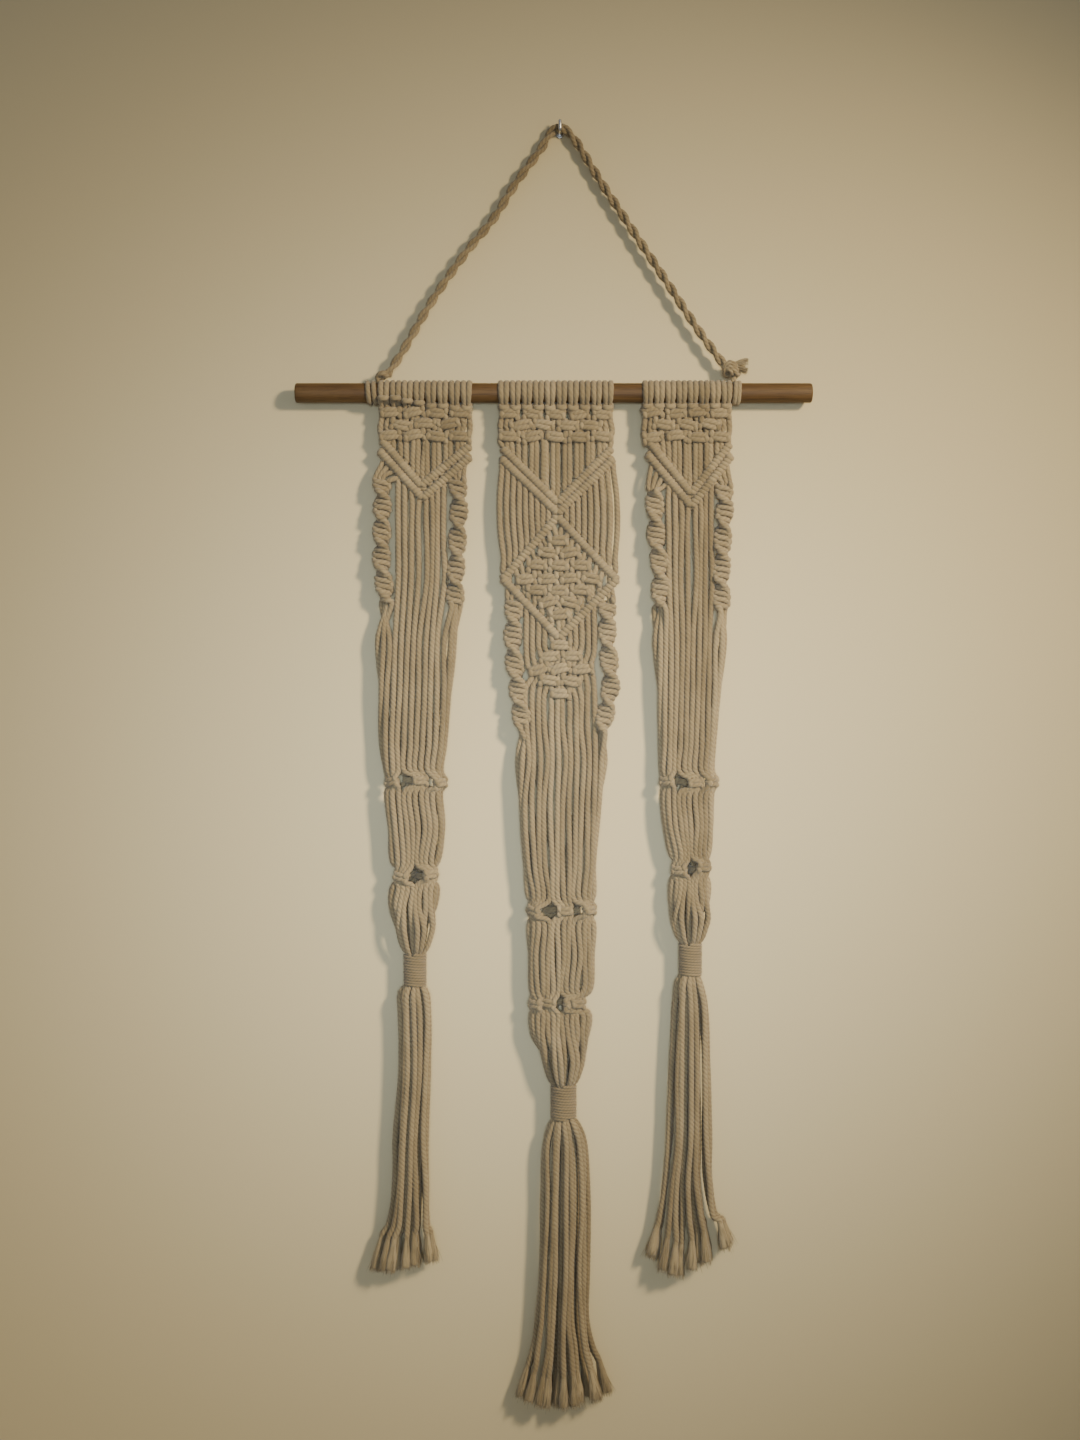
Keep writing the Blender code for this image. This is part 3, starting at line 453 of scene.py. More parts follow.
def hitch(way, line, share, span, enter, leave_x):
    """Winds a strand twice round a bar, up in front of it: span is the length of bar that it covers."""
    start = np.array([line.x1, line.drop1])
    run = np.array([line.x2, line.drop2]) - start
    length = np.linalg.norm(run)
    run = run / length
    above = np.array([-run[1], run[0]])
    above *= -np.sign(above[1])
    middle = start + run * length * share
    if enter:
        x = middle[0] + min(max(way[-1][0] - middle[0], -3.4), 3.4)
        top = bar_drop(line, x) - 5.4
        if way[-1][1] < top - 12.0:
            way.append(at(x, top - 8.0, DOWEL_OUT, 1.08))
        if way[-1][1] < top - 1.5:
            way.append(at(x, top, DOWEL_OUT - 0.4, 1.04))
    for degrees in WINDING:
        turn = math.radians(-degrees)
        spot = middle + run * span * (degrees - 450) / 720 + above * BAR_WIND * math.cos(turn)
        way.append(at(spot[0], spot[1], DOWEL_OUT + BAR_DEEP * math.sin(turn), BAR_SIZE, 0.75))
    if leave_x is not None:
        drop = bar_drop(line, leave_x)
        way.append(at(leave_x, drop + 4.4, DOWEL_OUT - 0.8, 0.92))
        way.append(at(leave_x, drop + 8.0, DOWEL_OUT - 0.2, 1.0))


def carrier(line):
    """The strand inside a bar, with its ends tucked in."""
    start, end = np.array([line.x1, line.drop1]), np.array([line.x2, line.drop2])
    way = []
    for share in np.linspace(0, 1, CARRIER_POINTS):
        behind = CARRIER_BACK if 0 < share < 1 else CARRIER_TUCK
        way.append(at(*(start + (end - start) * share), DOWEL_OUT - behind, CARRIER_CORD))
    return way


def bar_half(strand_ways, order, line, enter=True, leave=None):
    """Winds these strands on one bar, in order from its start; leave gives the x of those that hang on."""
    length = math.hypot(line.x2 - line.x1, line.drop2 - line.drop1)
    for place, index in enumerate(order):
        leave_x = leave.get(index) if leave else None
        hitch(strand_ways[index], line, (place + 0.5) / len(order), length / len(order), enter, leave_x)


# Where the free strands of each panel hang
FREE = {
    "left": (-140.7, -135.4, -129.2, -122.9, -116.6, -111.4, -106.6, -101.2),
    "center": tuple(-29.3 + 5.34 * number for number in range(12)),
    "right": (94.7, 100.0, 105.3, 111.5, 117.9, 122.2, 126.7, 131.6),
}
for side in SIDES:
    strands = 2 * PANELS[side].heads
    hang_on_from = {index: x for index, x in enumerate(FREE[side], 4)}
    if side == "center":
        hang_on_from = {index: (index - 9.5) * 5.1 - 2.2 for index in range(strands)}
    for row, (left_leg, right_leg) in enumerate(CHEVRONS[side]):
        leave = hang_on_from if row == 1 else None
        bar_half(ways[side], range(strands // 2), left_leg, row == 0, leave)
        bar_half(ways[side], range(strands - 1, strands // 2 - 1, -1), right_leg, row == 0, leave)
        carriers[side] += [carrier(left_leg), carrier(right_leg)]
    print(side, "bars:", 2 * len(CHEVRONS[side]), "of", strands // 2, "hitches")

# %% [markdown]
# ## The middle panel's diamonds
# Under the V the middle panel has a diamond of bars filled with square knots, one to four to a row, and
# under its point a smaller one of knots alone. The outer strands wait at the sides and bow out on their
# way to the bars. Knots are tied row by row, and only on the strands that have come in by then.

# %% Diamonds
DIAMOND_TOP = (-2.4, 107.6)
DIAMOND_RIGHT = (49.0, 162.4)
DIAMOND_BOTTOM = (-1.2, 213.0)
DIAMOND_LEFT = (-49.6, 161.8)
LANE = 4.72
FIELD_X = -0.9
FIELD_SQUEEZE = 1.08
# (drop, number of knots)
FIELD = [(128.8, 1), (139.4, 2), (150.4, 3), (161.8, 4), (172.4, 3), (182.4, 2), (193.0, 1)]
SMALL_FIELD = [(219.4, 1), (229.6, 2), (240.0, 3), (250.0, 2), (261.2, 1)]
SMALL_LANE = 4.85
SMALL_X = 0.6


def field_x(index, lane, middle):
    return middle + (index - 9.5) * lane


def tie_field(strand_ways, rows, lane, middle, flip, height, size):
    for number, (drop, knots) in enumerate(rows):
        for index in range(10 - 2 * knots, 10 + 2 * knots):
            start = 10 - 2 * knots + (index - 10 + 2 * knots) // 4 * 4
            centre = field_x(start + 1.5, lane, middle)
            turned = flip != (number % 2 == 1)
            lean = 0.006 * (centre - 4.0) * np.sign(drop - 161.0)
            order = index - start
            knot = wide_knot(order, centre, drop, lane, turned, FIELD_SQUEEZE, height, size, lean)
            strand_ways[index] += knot


center_ways = ways["center"]
for index, way in enumerate(center_ways):
    share = (index - 9.5) / 10
    corner = DIAMOND_RIGHT if share > 0 else DIAMOND_LEFT
    line_x = DIAMOND_TOP[0] + abs(share) * (corner[0] - DIAMOND_TOP[0])
    line_drop = DIAMOND_TOP[1] + abs(share) * (162.0 - DIAMOND_TOP[1])
    start_x, start_drop = way[-1][0], way[-1][1]
    bow = 4.2 * share**3
    for t in (0.3, 0.62, 0.88) if abs(share) > 0.3 else ():
        x = start_x + (line_x - start_x) * t + 4 * t * (1 - t) * bow
        way.append(at(x, start_drop + (line_drop - 5.5 - start_drop) * t, DOWEL_OUT, 1.04))
upper_left, upper_right = Line(*DIAMOND_TOP, *DIAMOND_LEFT), Line(*DIAMOND_TOP, *DIAMOND_RIGHT)
lower_left, lower_right = Line(*DIAMOND_LEFT, *DIAMOND_BOTTOM), Line(*DIAMOND_RIGHT, *DIAMOND_BOTTOM)
bar_half(center_ways, range(9, -1, -1), upper_left)
bar_half(center_ways, range(10, 20), upper_right)
tie_field(center_ways, FIELD, LANE, FIELD_X, True, 5.4, 0.98)
leave = {index: x for index, x in enumerate(FREE["center"], 4)}
bar_half(center_ways, range(0, 10), lower_left, leave=leave)
bar_half(center_ways, range(19, 9, -1), lower_right, leave=leave)
carriers["center"] += [carrier(line) for line in (upper_left, upper_right, lower_left, lower_right)]
print("diamond:", sum(knots for drop, knots in FIELD), "square knots in", len(FIELD), "rows")

for index in (8, 9, 10, 11):
    center_ways[index].pop()
for index in range(4, 16):
    away = abs(index - 9.5) - 0.5
    if away >= 2:
        center_ways[index].append(at(FREE["center"][index - 4], 216.0 + 5.0 * (away // 2), DOWEL_OUT, 1.02))
tie_field(center_ways, SMALL_FIELD, SMALL_LANE, SMALL_X, False, 5.0, 0.97)
print("small diamond:", sum(knots for drop, knots in SMALL_FIELD), "square knots")

# %% [markdown]
# ## Half-knot spirals
# The same half knot tied again and again can't lie flat: each one turns the row a little, and the four
# strands wind into a spiral. A flat band of knots seen from the side is narrow and from the front wide,
# so the spiral shows lobes and necks. The knot is laid out on a flat ribbon here, and the ribbon turns
# half a turn between one lobe and the next.

# %% Spirals
SPIRAL_HALF = 6.0
SPIRAL_DEEP = 2.0
SPIRAL_PITCH = 5.2
SPIRAL_CORD = 0.97
LOBE_LENGTH = 24.0
SPIRAL_CORE_GAP = 2.4
SPIRAL_CORE_CORD = 0.66
GATHER_GAP = 3.6
# (aside, down in half knots, forward) for a strand that crosses in front and comes back behind
SPIRAL_WORKER = [
    (-1.0, 0.02, 0.5),
    (-0.72, 0.3, 0.95),
    (-0.1, 0.44, 1.05),
    (0.55, 0.56, 0.98),
    (0.98, 0.86, 0.2),
    (1.02, 1.2, 0.6),
    (0.8, 1.42, -0.5),
    (0.1, 1.5, -1.05),
    (-0.62, 1.62, -0.9),
    (-0.98, 1.82, -0.1),
]

# Lobes as (x, drop), from the first to the last, then the foot
SPIRALS = {
    "left": [
        [(-155.2, 77.6), (-154.6, 98.5), (-155.1, 120.0), (-155.6, 142.6), (-153.1, 165.5), (-151.6, 182.0)],
        [(-89.2, 80.5), (-87.9, 102.4), (-89.4, 127.4), (-90.8, 153.1), (-91.5, 175.2), (-91.2, 184.0)],
    ],
    "center": [
        [(-40.4, 187.8), (-41.1, 209.2), (-39.8, 236.5), (-36.4, 258.8), (-33.8, 280.2), (-33.2, 288.5)],
        [(40.8, 186.0), (41.0, 205.8), (42.6, 232.3), (44.4, 256.6), (39.4, 280.0), (36.2, 293.0)],
    ],
    "right": [
        [(82.2, 97.2), (83.6, 123.8), (86.6, 146.8), (87.5, 170.8), (87.5, 186.4)],
        [(142.6, 85.6), (143.5, 101.8), (141.2, 127.4), (140.4, 153.1), (140.2, 178.2), (140.4, 188.2)],
    ],
}


def spiral(strand_ways, strands, lobes, lead):
    """Knots four strands into a spiral that starts lead millimetres above its first lobe."""
    knots = np.array(lobes, float)
    drops = np.concatenate([[knots[0, 1] - lead], knots[:, 1]])
    xs = np.concatenate([[knots[0, 0]], knots[:, 0]])
    lobe_count = len(knots) - 1
    last_turn = lobe_count - 1 + (drops[-1] - drops[-2]) / LOBE_LENGTH
    turns = np.concatenate([[-lead / LOBE_LENGTH], np.arange(lobe_count), [last_turn]])
    top, foot = drops[0], drops[-1]

    def ribbon(aside, drop, forward, size, pressed=0.3):
        x = np.interp(drop, drops, xs)
        half_turns = np.interp(drop, drops, turns)
        # Each lobe faces out for a while, and the row turns over quickly at the neck.
        turn = math.pi * (half_turns - 0.105 * math.sin(2 * math.pi * half_turns))
        return at(
            x + aside * math.cos(turn) + forward * math.sin(turn),
            drop,
            DOWEL_OUT - aside * math.sin(turn) + forward * math.cos(turn),
            size,
            pressed,
        )

    half_knots = round((foot - top) / SPIRAL_PITCH / 2) * 2
    pitch = (foot - top) / half_knots
    for order in (1, 2):
        way = strand_ways[strands[order]]
        begin = way[-1][1] + 1.0
        for drop in np.linspace(top - 2.0, foot + 2.0, 3 * lobe_count + 3):
            if drop > begin:
                way.append(ribbon((order - 1.5) * SPIRAL_CORE_GAP, drop, 0.0, SPIRAL_CORE_CORD))
    for order, shift in ((0, 0), (3, 1)):
        way = strand_ways[strands[order]]
        reach = abs(way[-1][0] - ribbon((order * 2 / 3 - 1) * SPIRAL_HALF, way[-1][1], 0.0, 1.0)[0])
        begin = max(top - 1.0, way[-1][1] + 0.5 + 0.25 * reach)
        for cycle in range(-1, half_knots // 2 + 1):
            for aside, down, forward in SPIRAL_WORKER:
                drop = top + pitch * (2 * cycle + down + shift)
                if begin <= drop <= foot + 1.0:
                    way.append(ribbon(SPIRAL_HALF * aside, drop, SPIRAL_DEEP * forward, SPIRAL_CORD))
    return half_knots


for side in SIDES:
    count = len(ways[side])
    lead = {"left": (2.0, 4.5), "center": (7.0, 6.0), "right": (11.0, 5.0)}[side]
    for strands, lobes, above in zip((range(4), range(count - 4, count)), SPIRALS[side], lead):
        for order, index in enumerate(strands):
            gather = lobes[0][1] - above - 3.0
            if gather > ways[side][index][-1][1] + 2.0:
                x = lobes[0][0] + (order - 1.5) * GATHER_GAP
                ways[side][index].append(at(x, gather, DOWEL_OUT, 0.84))
        knots = spiral(ways[side], strands, lobes, above)
        print(side, "spiral:", knots, "half knots")

# %% [markdown]
# ## The net
# Under the spirals the strands hang free and are caught in two rows of small square knots, which turn
# each panel into a flat net tube. A section is a long oval: strands in front, round the two edges and
# behind. Each knot draws its four strands into one spot of the oval and faces out from it, and the
# next row takes two strands from each neighbour. The knots behind are wider and lie nearer the middle,
# which narrows the gaps between the ones in front but leaves dark holes in each row.

# %% Sections of the net
# knots are (first strand, x of the knot in front); one with no x is behind
LEVELS = {
    "left": [
        Level(214.0, -160.6, -88.4, 0.6, 3.2),
        Level(258.4, -159.0, -92.4, 0.7, 4.2),
        Level(305.0, -157.0, -97.6, 0.9, 5.4),
        Level(337.6, -153.6, -101.4, 1.0, 6.6, ((2, -145.3), (6, -121.2), (10, -104.6), (14, None))),
        Level(378.4, -150.4, -99.8, 1.0, 8.0),
        Level(419.0, -147.0, -105.0, 1.0, 7.0, ((4, -137.5), (8, -112.7), (12, None), (0, None))),
        Level(446.0, -149.2, -106.6, 1.0, 9.0),
    ],
    "center": [
        Level(318.0, -38.4, 41.6, 0.72, 4.6),
        Level(356.7, -37.4, 37.0, 0.85, 6.0),
        Level(410.0, -32.2, 32.4, 1.0, 8.0),
        Level(449.5, -28.2, 30.6, 1.0, 7.0, ((4, -22.4), (8, 4.2), (12, 24.8), (16, None), (0, None))),
        Level(488.9, -28.6, 30.0, 1.0, 8.8),
        Level(530.0, -27.2, 27.4, 1.0, 7.4, ((6, -10.0), (10, 15.0), (14, None), (18, None), (2, -20.9))),
        Level(556.0, -26.0, 26.6, 1.0, 9.2),
    ],
    "right": [
        Level(214.0, 80.6, 146.4, 0.6, 3.2),
        Level(258.4, 83.6, 141.6, 0.7, 4.2),
        Level(305.0, 86.0, 136.6, 0.9, 5.4),
        Level(338.4, 86.2, 134.8, 1.0, 6.6, ((2, 93.2), (6, 117.0), (10, 131.0), (14, None))),
        Level(375.8, 88.8, 133.6, 1.0, 8.2),
        Level(413.2, 95.6, 130.6, 1.0, 7.0, ((4, 103.6), (8, 123.8), (12, None), (0, None))),
        Level(440.0, 94.2, 131.0, 1.0, 9.0),
    ],
}
NET_HALF = 5.4
NET_HEIGHT = 4.4
NET_CORD = 0.86
NET_CORE = 1.5
BACK_HALF = 8.4
BACK_CORE = 2.8
BACK_DRAWN = 0.35
FRONT_SHARE = 0.68
FAN = 9.0
FREE_STEP = 24.0
WRAPS = {
    "left": Wrap(-126.2, 487.2, 516.8, 10.2),
    "center": Wrap(3.1, 601.2, 631.2, 11.4),
    "right": Wrap(113.3, 478.1, 506.9, 10.3),
}


def strand_share(index, strands):
    """Where a strand lies in its panel's row, from -1 at the left edge to 1 at the right."""
    return 2 * (index + 0.5) / strands - 1


def on_level(level, share):
    """The place of a share of a section, as (across, out, turn): most strands hang in front."""
    side = 1 if share > 0 else -1
    half_way = np.interp(abs(share), [0, FRONT_SHARE, 1], [0, 0.5, 1])
    packed = abs(share) + (half_way - abs(share)) * np.interp(level.curl, [0.6, 1.0], [0.0, 1.0])
    flat = (level.right - level.left) / 2 - CORD - level.depth
    along = packed * level.curl * (2 * flat + math.pi * level.depth)
    turn = min(max(along - flat, 0.0) / level.depth, math.pi)
    back = max(along - flat - math.pi * level.depth, 0.0)
    across = min(along, flat) - back + level.depth * math.sin(turn)
    middle = (level.left + level.right) / 2
    return middle + side * across, DOWEL_OUT + level.depth * math.cos(turn), side * turn


def hang_on(strand_ways, level, drop, shares, grip=1.0):
    """Hangs each strand at its share of a section, a little unevenly."""
    for index, share in shares:
        x, out, turn = on_level(level, share)
        x += grip * sway(index, drop)
        strand_ways[index].append(at(x, drop, out + 0.4 * grip * sway(index + 3, drop), 1.0))


def net_knot(strand_ways, level, first, front_x, strands):
    """Ties four strands where they meet on a section; the numbers run on round the tube."""
    share = strand_share((first + 1.5) % strands, strands)
    x, out, turn = on_level(level, share)
    if front_x is None:
        middle = (level.left + level.right) / 2
        x = middle + BACK_DRAWN * (x - middle)
    else:
        x, out = front_x, max(out, DOWEL_OUT + 0.75 * level.depth)
        off_middle = (2 * x - level.left - level.right) / (level.right - level.left)
        turn = 0.9 * math.asin(np.clip(off_middle, -0.8, 0.8))
    half, core = (NET_HALF, NET_CORE) if front_x is not None else (BACK_HALF, BACK_CORE)
    tilt = 0.22 * uneven(first + level.drop)
    drop = level.drop + 1.6 * math.sin(2.3 * first + level.drop)
    for order in range(4):
        way = strand_ways[(first + order) % strands]
        for a, b, forward, size in knot_points(order, half, NET_HEIGHT, 3.0, core, NET_CORD, first % 8 == 0):
            aside, down = a - b * tilt, b + a * tilt
            way.append(
                at(
                    x + aside * math.cos(turn) + forward * math.sin(turn),
                    drop + down,
                    out - aside * math.sin(turn) + forward * math.cos(turn),
                    size,
                    0.4,
                )
            )


def sway(index, drop):
    """Cotton that was knotted before never hangs quite straight."""
    return 0.55 * math.sin(0.043 * drop + 1.9 * index) + 0.35 * math.sin(0.11 * drop + 4.1 * index)


for side in SIDES:
    foot = 290.0 if side == "center" else 160.0
    strands = len(ways[side])
    for number, x in enumerate(FREE[side]):
        way = ways[side][number + 4]
        top = way[-1][1] + 9.0
        for drop in np.linspace(top, foot, max(2, round((foot - top) / FREE_STEP))):
            way.append(at(x + sway(number, drop), drop, DOWEL_OUT + 0.5 * uneven(number + drop), 1.04))
    for level in LEVELS[side]:
        shares = [(index, strand_share(index, strands)) for index in range(strands)]
        if not level.knots:
            hang_on(ways[side], level, level.drop, shares)
            continue
        hang_on(ways[side], level, level.drop - FAN, shares, 0.6)
        for first, front_x in level.knots:
            net_knot(ways[side], level, first, front_x, strands)
        hang_on(ways[side], level, level.drop + FAN, shares, 0.6)
    print(side, "net:", sum(len(level.knots) for level in LEVELS[side]), "knots")

# %% [markdown]
# ## Into the gathering wraps
# All strands of a panel are drawn together and bound with a cord of their own. Above the wrap they
# press against each other in a ring, and inside it they are packed out of sight.

# %% Necks
NECK = ((-22.0, 5.4, 1.0), (-12.0, 3.0, 0.97), (-4.5, 0.4, 0.86), (2.0, -3.6, 0.66), (11.0, -4.9, 0.6))
for side in SIDES:
    wrap, strands = WRAPS[side], len(ways[side])
    for index, way in enumerate(ways[side]):
        turn = strand_share(index, strands) * math.pi
        inner = 0.62 if index % 3 == 1 else 1.0
        for drop, beyond, size in NECK:
            reach = (wrap.radius + beyond) * inner
            x = wrap.x + reach * math.sin(turn)
            way.append(at(x, wrap.top + drop, DOWEL_OUT + 0.92 * reach * math.cos(turn), size))
    print(side, "strands:", round(sum(smooth(way)[1][-1] for way in ways[side]) / 1000, 2), "m")

# %% [markdown]
# ## Tassels
# Below the wrap the strands come out again and hang as a tassel. Each was simply cut, and the last two or
# three centimetres have opened into fibres. Fibres could be hair particles, but those can't be
# exported, so each is a thin three-sided tube.

# %% Tassel strands
# Widths of each tassel down to where its ends open
SKIRTS = {
    "left": [
        Skirt(521.0, -141.2, -113.0),
        Skirt(540.0, -141.4, -110.8),
        Skirt(588.0, -141.0, -111.4),
        Skirt(650.0, -145.2, -114.0),
        Skirt(690.0, -147.0, -112.4),
        Skirt(725.0, -152.6, -110.8),
        Skirt(748.0, -157.0, -109.4),
    ],
    "center": [
        Skirt(637.0, -10.6, 18.4),
        Skirt(650.0, -14.6, 24.0),
        Skirt(702.0, -16.6, 27.2),
        Skirt(762.0, -18.6, 26.4),
        Skirt(806.0, -21.6, 27.0),
        Skirt(830.0, -25.0, 31.4),
        Skirt(856.0, -29.4, 36.4),
    ],
    "right": [
        Skirt(512.0, 99.6, 124.2),
        Skirt(530.0, 97.6, 128.6),
        Skirt(588.0, 94.2, 131.6),
        Skirt(650.0, 92.4, 132.4),
        Skirt(684.0, 88.6, 134.0),
        Skirt(716.0, 84.0, 140.6),
        Skirt(738.0, 82.4, 145.4),
    ],
}
TASSEL_DEEP = 10.0
TASSEL_CORD = 1.03
OUTER_SHARE = 0.69
OPENED = 22.0
OPENED_VARIES = 4.0

# Where each tassel's ends reach down to, from left to right
HEMS = {
    "left": [(-153.6, 765.0), (-137.5, 762.4), (-128.8, 759.0), (-113.1, 756.2)],
    "center": [(-30.8, 875.2), (-16.5, 880.4), (-2.6, 882.2), (10.4, 880.4), (22.6, 877.8), (38.3, 871.7)],
    "right": [(82.6, 751.7), (92.2, 763.9), (105.3, 769.1), (120.1, 756.9), (131.4, 754.3), (145.0, 740.0)],
}


def hem(side, x):
    places, drops = zip(*HEMS[side])
    return float(np.interp(x, places, drops))


tassel_ways = {side: [] for side in SIDES}
ends = {side: [] for side in SIDES}
for side in SIDES:
    wrap, strands = WRAPS[side], 2 * PANELS[side].heads
    outer = round(strands * OUTER_SHARE)
    for index in range(strands):
        in_ring = index < outer
        reach = 1.0 if in_ring else 0.42
        turn = 2 * math.pi * (index / outer if in_ring else (index - outer + 0.4) / (strands - outer))
        turn -= 0.3 * math.sin(turn)
        turn += 0.14 * math.sin(3.7 * index)
        root = (wrap.radius - 4.6) * reach
        way = [
            at(wrap.x + root * math.sin(turn), wrap.bottom - 12.0, DOWEL_OUT + root * math.cos(turn), 0.6),
            at(wrap.x + root * math.sin(turn), wrap.bottom - 4.0, DOWEL_OUT + root * math.cos(turn), 0.62),
        ]
        for number, skirt in enumerate(SKIRTS[side]):
            half = (skirt.right - skirt.left) / 2 - CORD * TASSEL_CORD
            deep = min(half, TASSEL_DEEP - 1.0)
            middle = (skirt.left + skirt.right) / 2
            wave = 0.0 if number < 1 else sway(index, skirt.drop) * 1.2
            x = middle + half * reach * math.sin(turn) + wave
            out = DOWEL_OUT + deep * reach * math.cos(turn) + 0.6 * wave
            way.append(at(x, skirt.drop, out, TASSEL_CORD))
        last = way[-1]
        low = hem(side, last[0]) - OPENED - OPENED_VARIES * math.sin(2.9 * index) ** 2
        tip_drop = max(low, last[1] - 12.0)
        way[-1] = at(last[0], tip_drop - 8.0, last[2], TASSEL_CORD)
        way.append(at(last[0] + 0.08 * (last[0] - wrap.x), tip_drop, last[2], 0.62))
        tassel_ways[side].append(way)
        ends[side].append(way[-2:])
    print(side, "tassel:", strands, "strands")

# %% [markdown]
# ## Opened ends
# At its cut end a strand is a soft brush. Its fibres start in the last of the rope, swell out a little,
# curl, and are cut at nearly one length. Sixty fibres alone look like straw, so a soft, swelling mass of
# cord fills each brush. A fixed seed keeps every run the same.

# %% Fibres
chance = np.random.default_rng(7)
FIBRE_STEPS = 8
FIBRE_GAP = 1.0
FIBRES_PER_END = 60
# (share of the brush's length, thickness) along the soft mass inside an opened end
MASS = (
    (-0.42, 0.6), (-0.2, 0.9), (0.06, 1.12), (0.35, 1.45), (0.65, 1.75), (0.86, 1.85), (0.94, 1.5),
)


def fibre_tubes(name, lines, thickness):
    """Thin three-sided tubes along arrays of points, all with the same number of steps, clear of the wall."""
    lines = np.asarray(lines, float)
    lines[..., 2] = np.maximum(lines[..., 2], FIBRE_GAP)
    number, steps = lines.shape[:2]
    ahead = np.gradient(lines, axis=1)
    ahead /= np.linalg.norm(ahead, axis=2, keepdims=True) + 1e-9
    side = np.cross(ahead, [0.2, 0.9, 0.4])
    side /= np.linalg.norm(side, axis=2, keepdims=True) + 1e-9
    up = np.cross(ahead, side)
    taper = np.interp(np.linspace(0, 1, steps), [0, 0.7, 1], [1.0, 0.9, 0.35])
    size = thickness[:, None, None] * taper[None, :, None]
    rounds = np.radians([90, 210, 330])[None, None, :, None]
    turned = np.cos(rounds) * side[:, :, None] + np.sin(rounds) * up[:, :, None]
    ring = lines[:, :, None] + size[..., None, :] * turned
    spots = np.stack([ring[..., 0], -ring[..., 2], -DOWEL_DROP - ring[..., 1]], axis=-1).reshape(-1, 3) * MM
    base = (np.arange(number)[:, None, None] * steps + np.arange(steps - 1)[None, :, None]) * 3
    here, there = np.arange(3)[None, None], (np.arange(3)[None, None] + 1) % 3
    faces = np.stack([base + here, base + there, base + 3 + there, base + 3 + here], axis=-1).reshape(-1, 4)
    notes = np.zeros((number, steps, 3, 4))
    # Each fibre gets a random darkening through the same mix that paints shade in the cord grooves.
    notes[..., 0] = 0.25 * chance.random((number, 1, 1))
    notes[..., 1] = chance.random((number, 1, 1))
    notes[..., 2] = 1.0
    notes[..., 3] = 1.0
    coats = np.zeros((number, steps, 3, 3))
    coats[..., 0] = chance.random((number, 1, 1)) * 40
    coats[..., 2] = np.linspace(0, 8, steps)[None, :, None]
    total = np.linalg.norm(np.diff(lines, axis=1), axis=2).sum()
    return cloth_mesh(name, spots, faces, notes.reshape(-1, 4), coats.reshape(-1, 3), total)


def brush(root, tip, length, count, spread, swell):
    """Fibres of one opened end, from inside the rope's last bit and on along its direction."""
    root, tip = np.array(root[:3]), np.array(tip[:3])
    ahead = (tip - root) / np.linalg.norm(tip - root)
    ahead = ahead * [0.8, 1.0, 0.5]
    ahead /= np.linalg.norm(ahead)
    first = np.cross(ahead, [0.0, 0.0, 1.0])
    first /= np.linalg.norm(first)
    second = np.cross(ahead, first)
    turn = chance.random(count) * 2 * math.pi
    reach = 0.72 + 0.33 * chance.random(count)
    cut = length * (0.88 + 0.16 * chance.random(count))
    t = np.linspace(0, 1, FIBRE_STEPS)
    away = np.stack([np.cos(turn), np.sin(turn)], axis=1)
    wide = reach[:, None] * (1.9 + (swell - 1.9) * np.minimum(1, t * 1.6)[None, :] + spread * t[None, :] ** 2)
    curl = 0.5 * t[None, :, None] * np.sin(7.0 * t[None, :, None] + 6.3 * chance.random((count, 1, 2)))
    aside = away[:, None] * wide[..., None] + curl
    along = (cut[:, None] + 7.0) * t[None, :] - 7.0
    return tip + along[..., None] * ahead + aside[..., :1] * first + aside[..., 1:] * second


def tassel_fibres(side, per_strand):
    """The fibres of a tassel's ends with their thickness, and the way of the soft mass inside each end."""
    lines, sizes, masses = [], [], []
    for root, tip in ends[side]:
        length = hem(side, tip[0]) - tip[1]
        lines += [brush(root, tip, length, per_strand, 1.5, 3.3), brush(root, tip, length + 1.5, 3, 6.0, 3.8)]
        sizes.append(chance.uniform(0.2, 0.32, per_strand + 3))
        ahead = np.array(tip[:3]) - np.array(root[:3])
        ahead *= [0.8, 1.0, 0.5] / np.linalg.norm(ahead)
        mass = []
        for share, size in MASS:
            x, drop, out = np.array(tip[:3]) + ahead * share * length
            mass.append(at(x, drop, out, size * (1 + 0.1 * uneven(3.1 * x + share)), 0.75))
        masses.append(mass)
    return np.vstack(lines), np.concatenate(sizes), masses


print("cut ends:", sum(len(ends[side]) for side in SIDES))

# %% [markdown]
# ## Gathering wraps
# A wrap is one cord wound tightly round the whole bundle, a dozen turns, pulled thin by the tension.

# %% Wraps
WRAP_CORD = 1.36
WRAP_PITCH = 2.5
WRAP_STEPS = 16


def wrap_way(wrap):
    """A helix round the bundle, from the top down, with its ends tucked in."""
    turns = (wrap.bottom - wrap.top) / WRAP_PITCH
    reach = wrap.radius - WRAP_CORD
    rows = [at(wrap.x, wrap.top + 3.0, DOWEL_OUT + reach - 3.5)]
    for step in range(int(turns * WRAP_STEPS) + 1):
        turn = 2 * math.pi * step / WRAP_STEPS
        tilt = 0.35 * math.sin(turn + 0.6)
        drop = wrap.top + 0.8 + (wrap.bottom - wrap.top - 1.6) * step / (turns * WRAP_STEPS) + tilt
        loose = reach + 0.12 * math.sin(5 * turn / 3)
        rows.append(at(wrap.x + loose * math.sin(turn), drop, DOWEL_OUT + loose * math.cos(turn)))
    turn += 0.6
    tucked = reach - 2.5
    x, out = wrap.x + tucked * math.sin(turn), DOWEL_OUT + tucked * math.cos(turn)
    rows.append(at(x, wrap.bottom - 3.0, out))
    return rows


for side in SIDES:
    print(side, "wrap:", round((WRAPS[side].bottom - WRAPS[side].top) / WRAP_PITCH, 1), "turns")

# %% [markdown]
# ## Hanging cord
# Two cords are laid round each other, go over the hook, and are knotted at both ends onto loops round
# the dowel. One centre line carries both: each cord is a helix round it, half a turn apart.

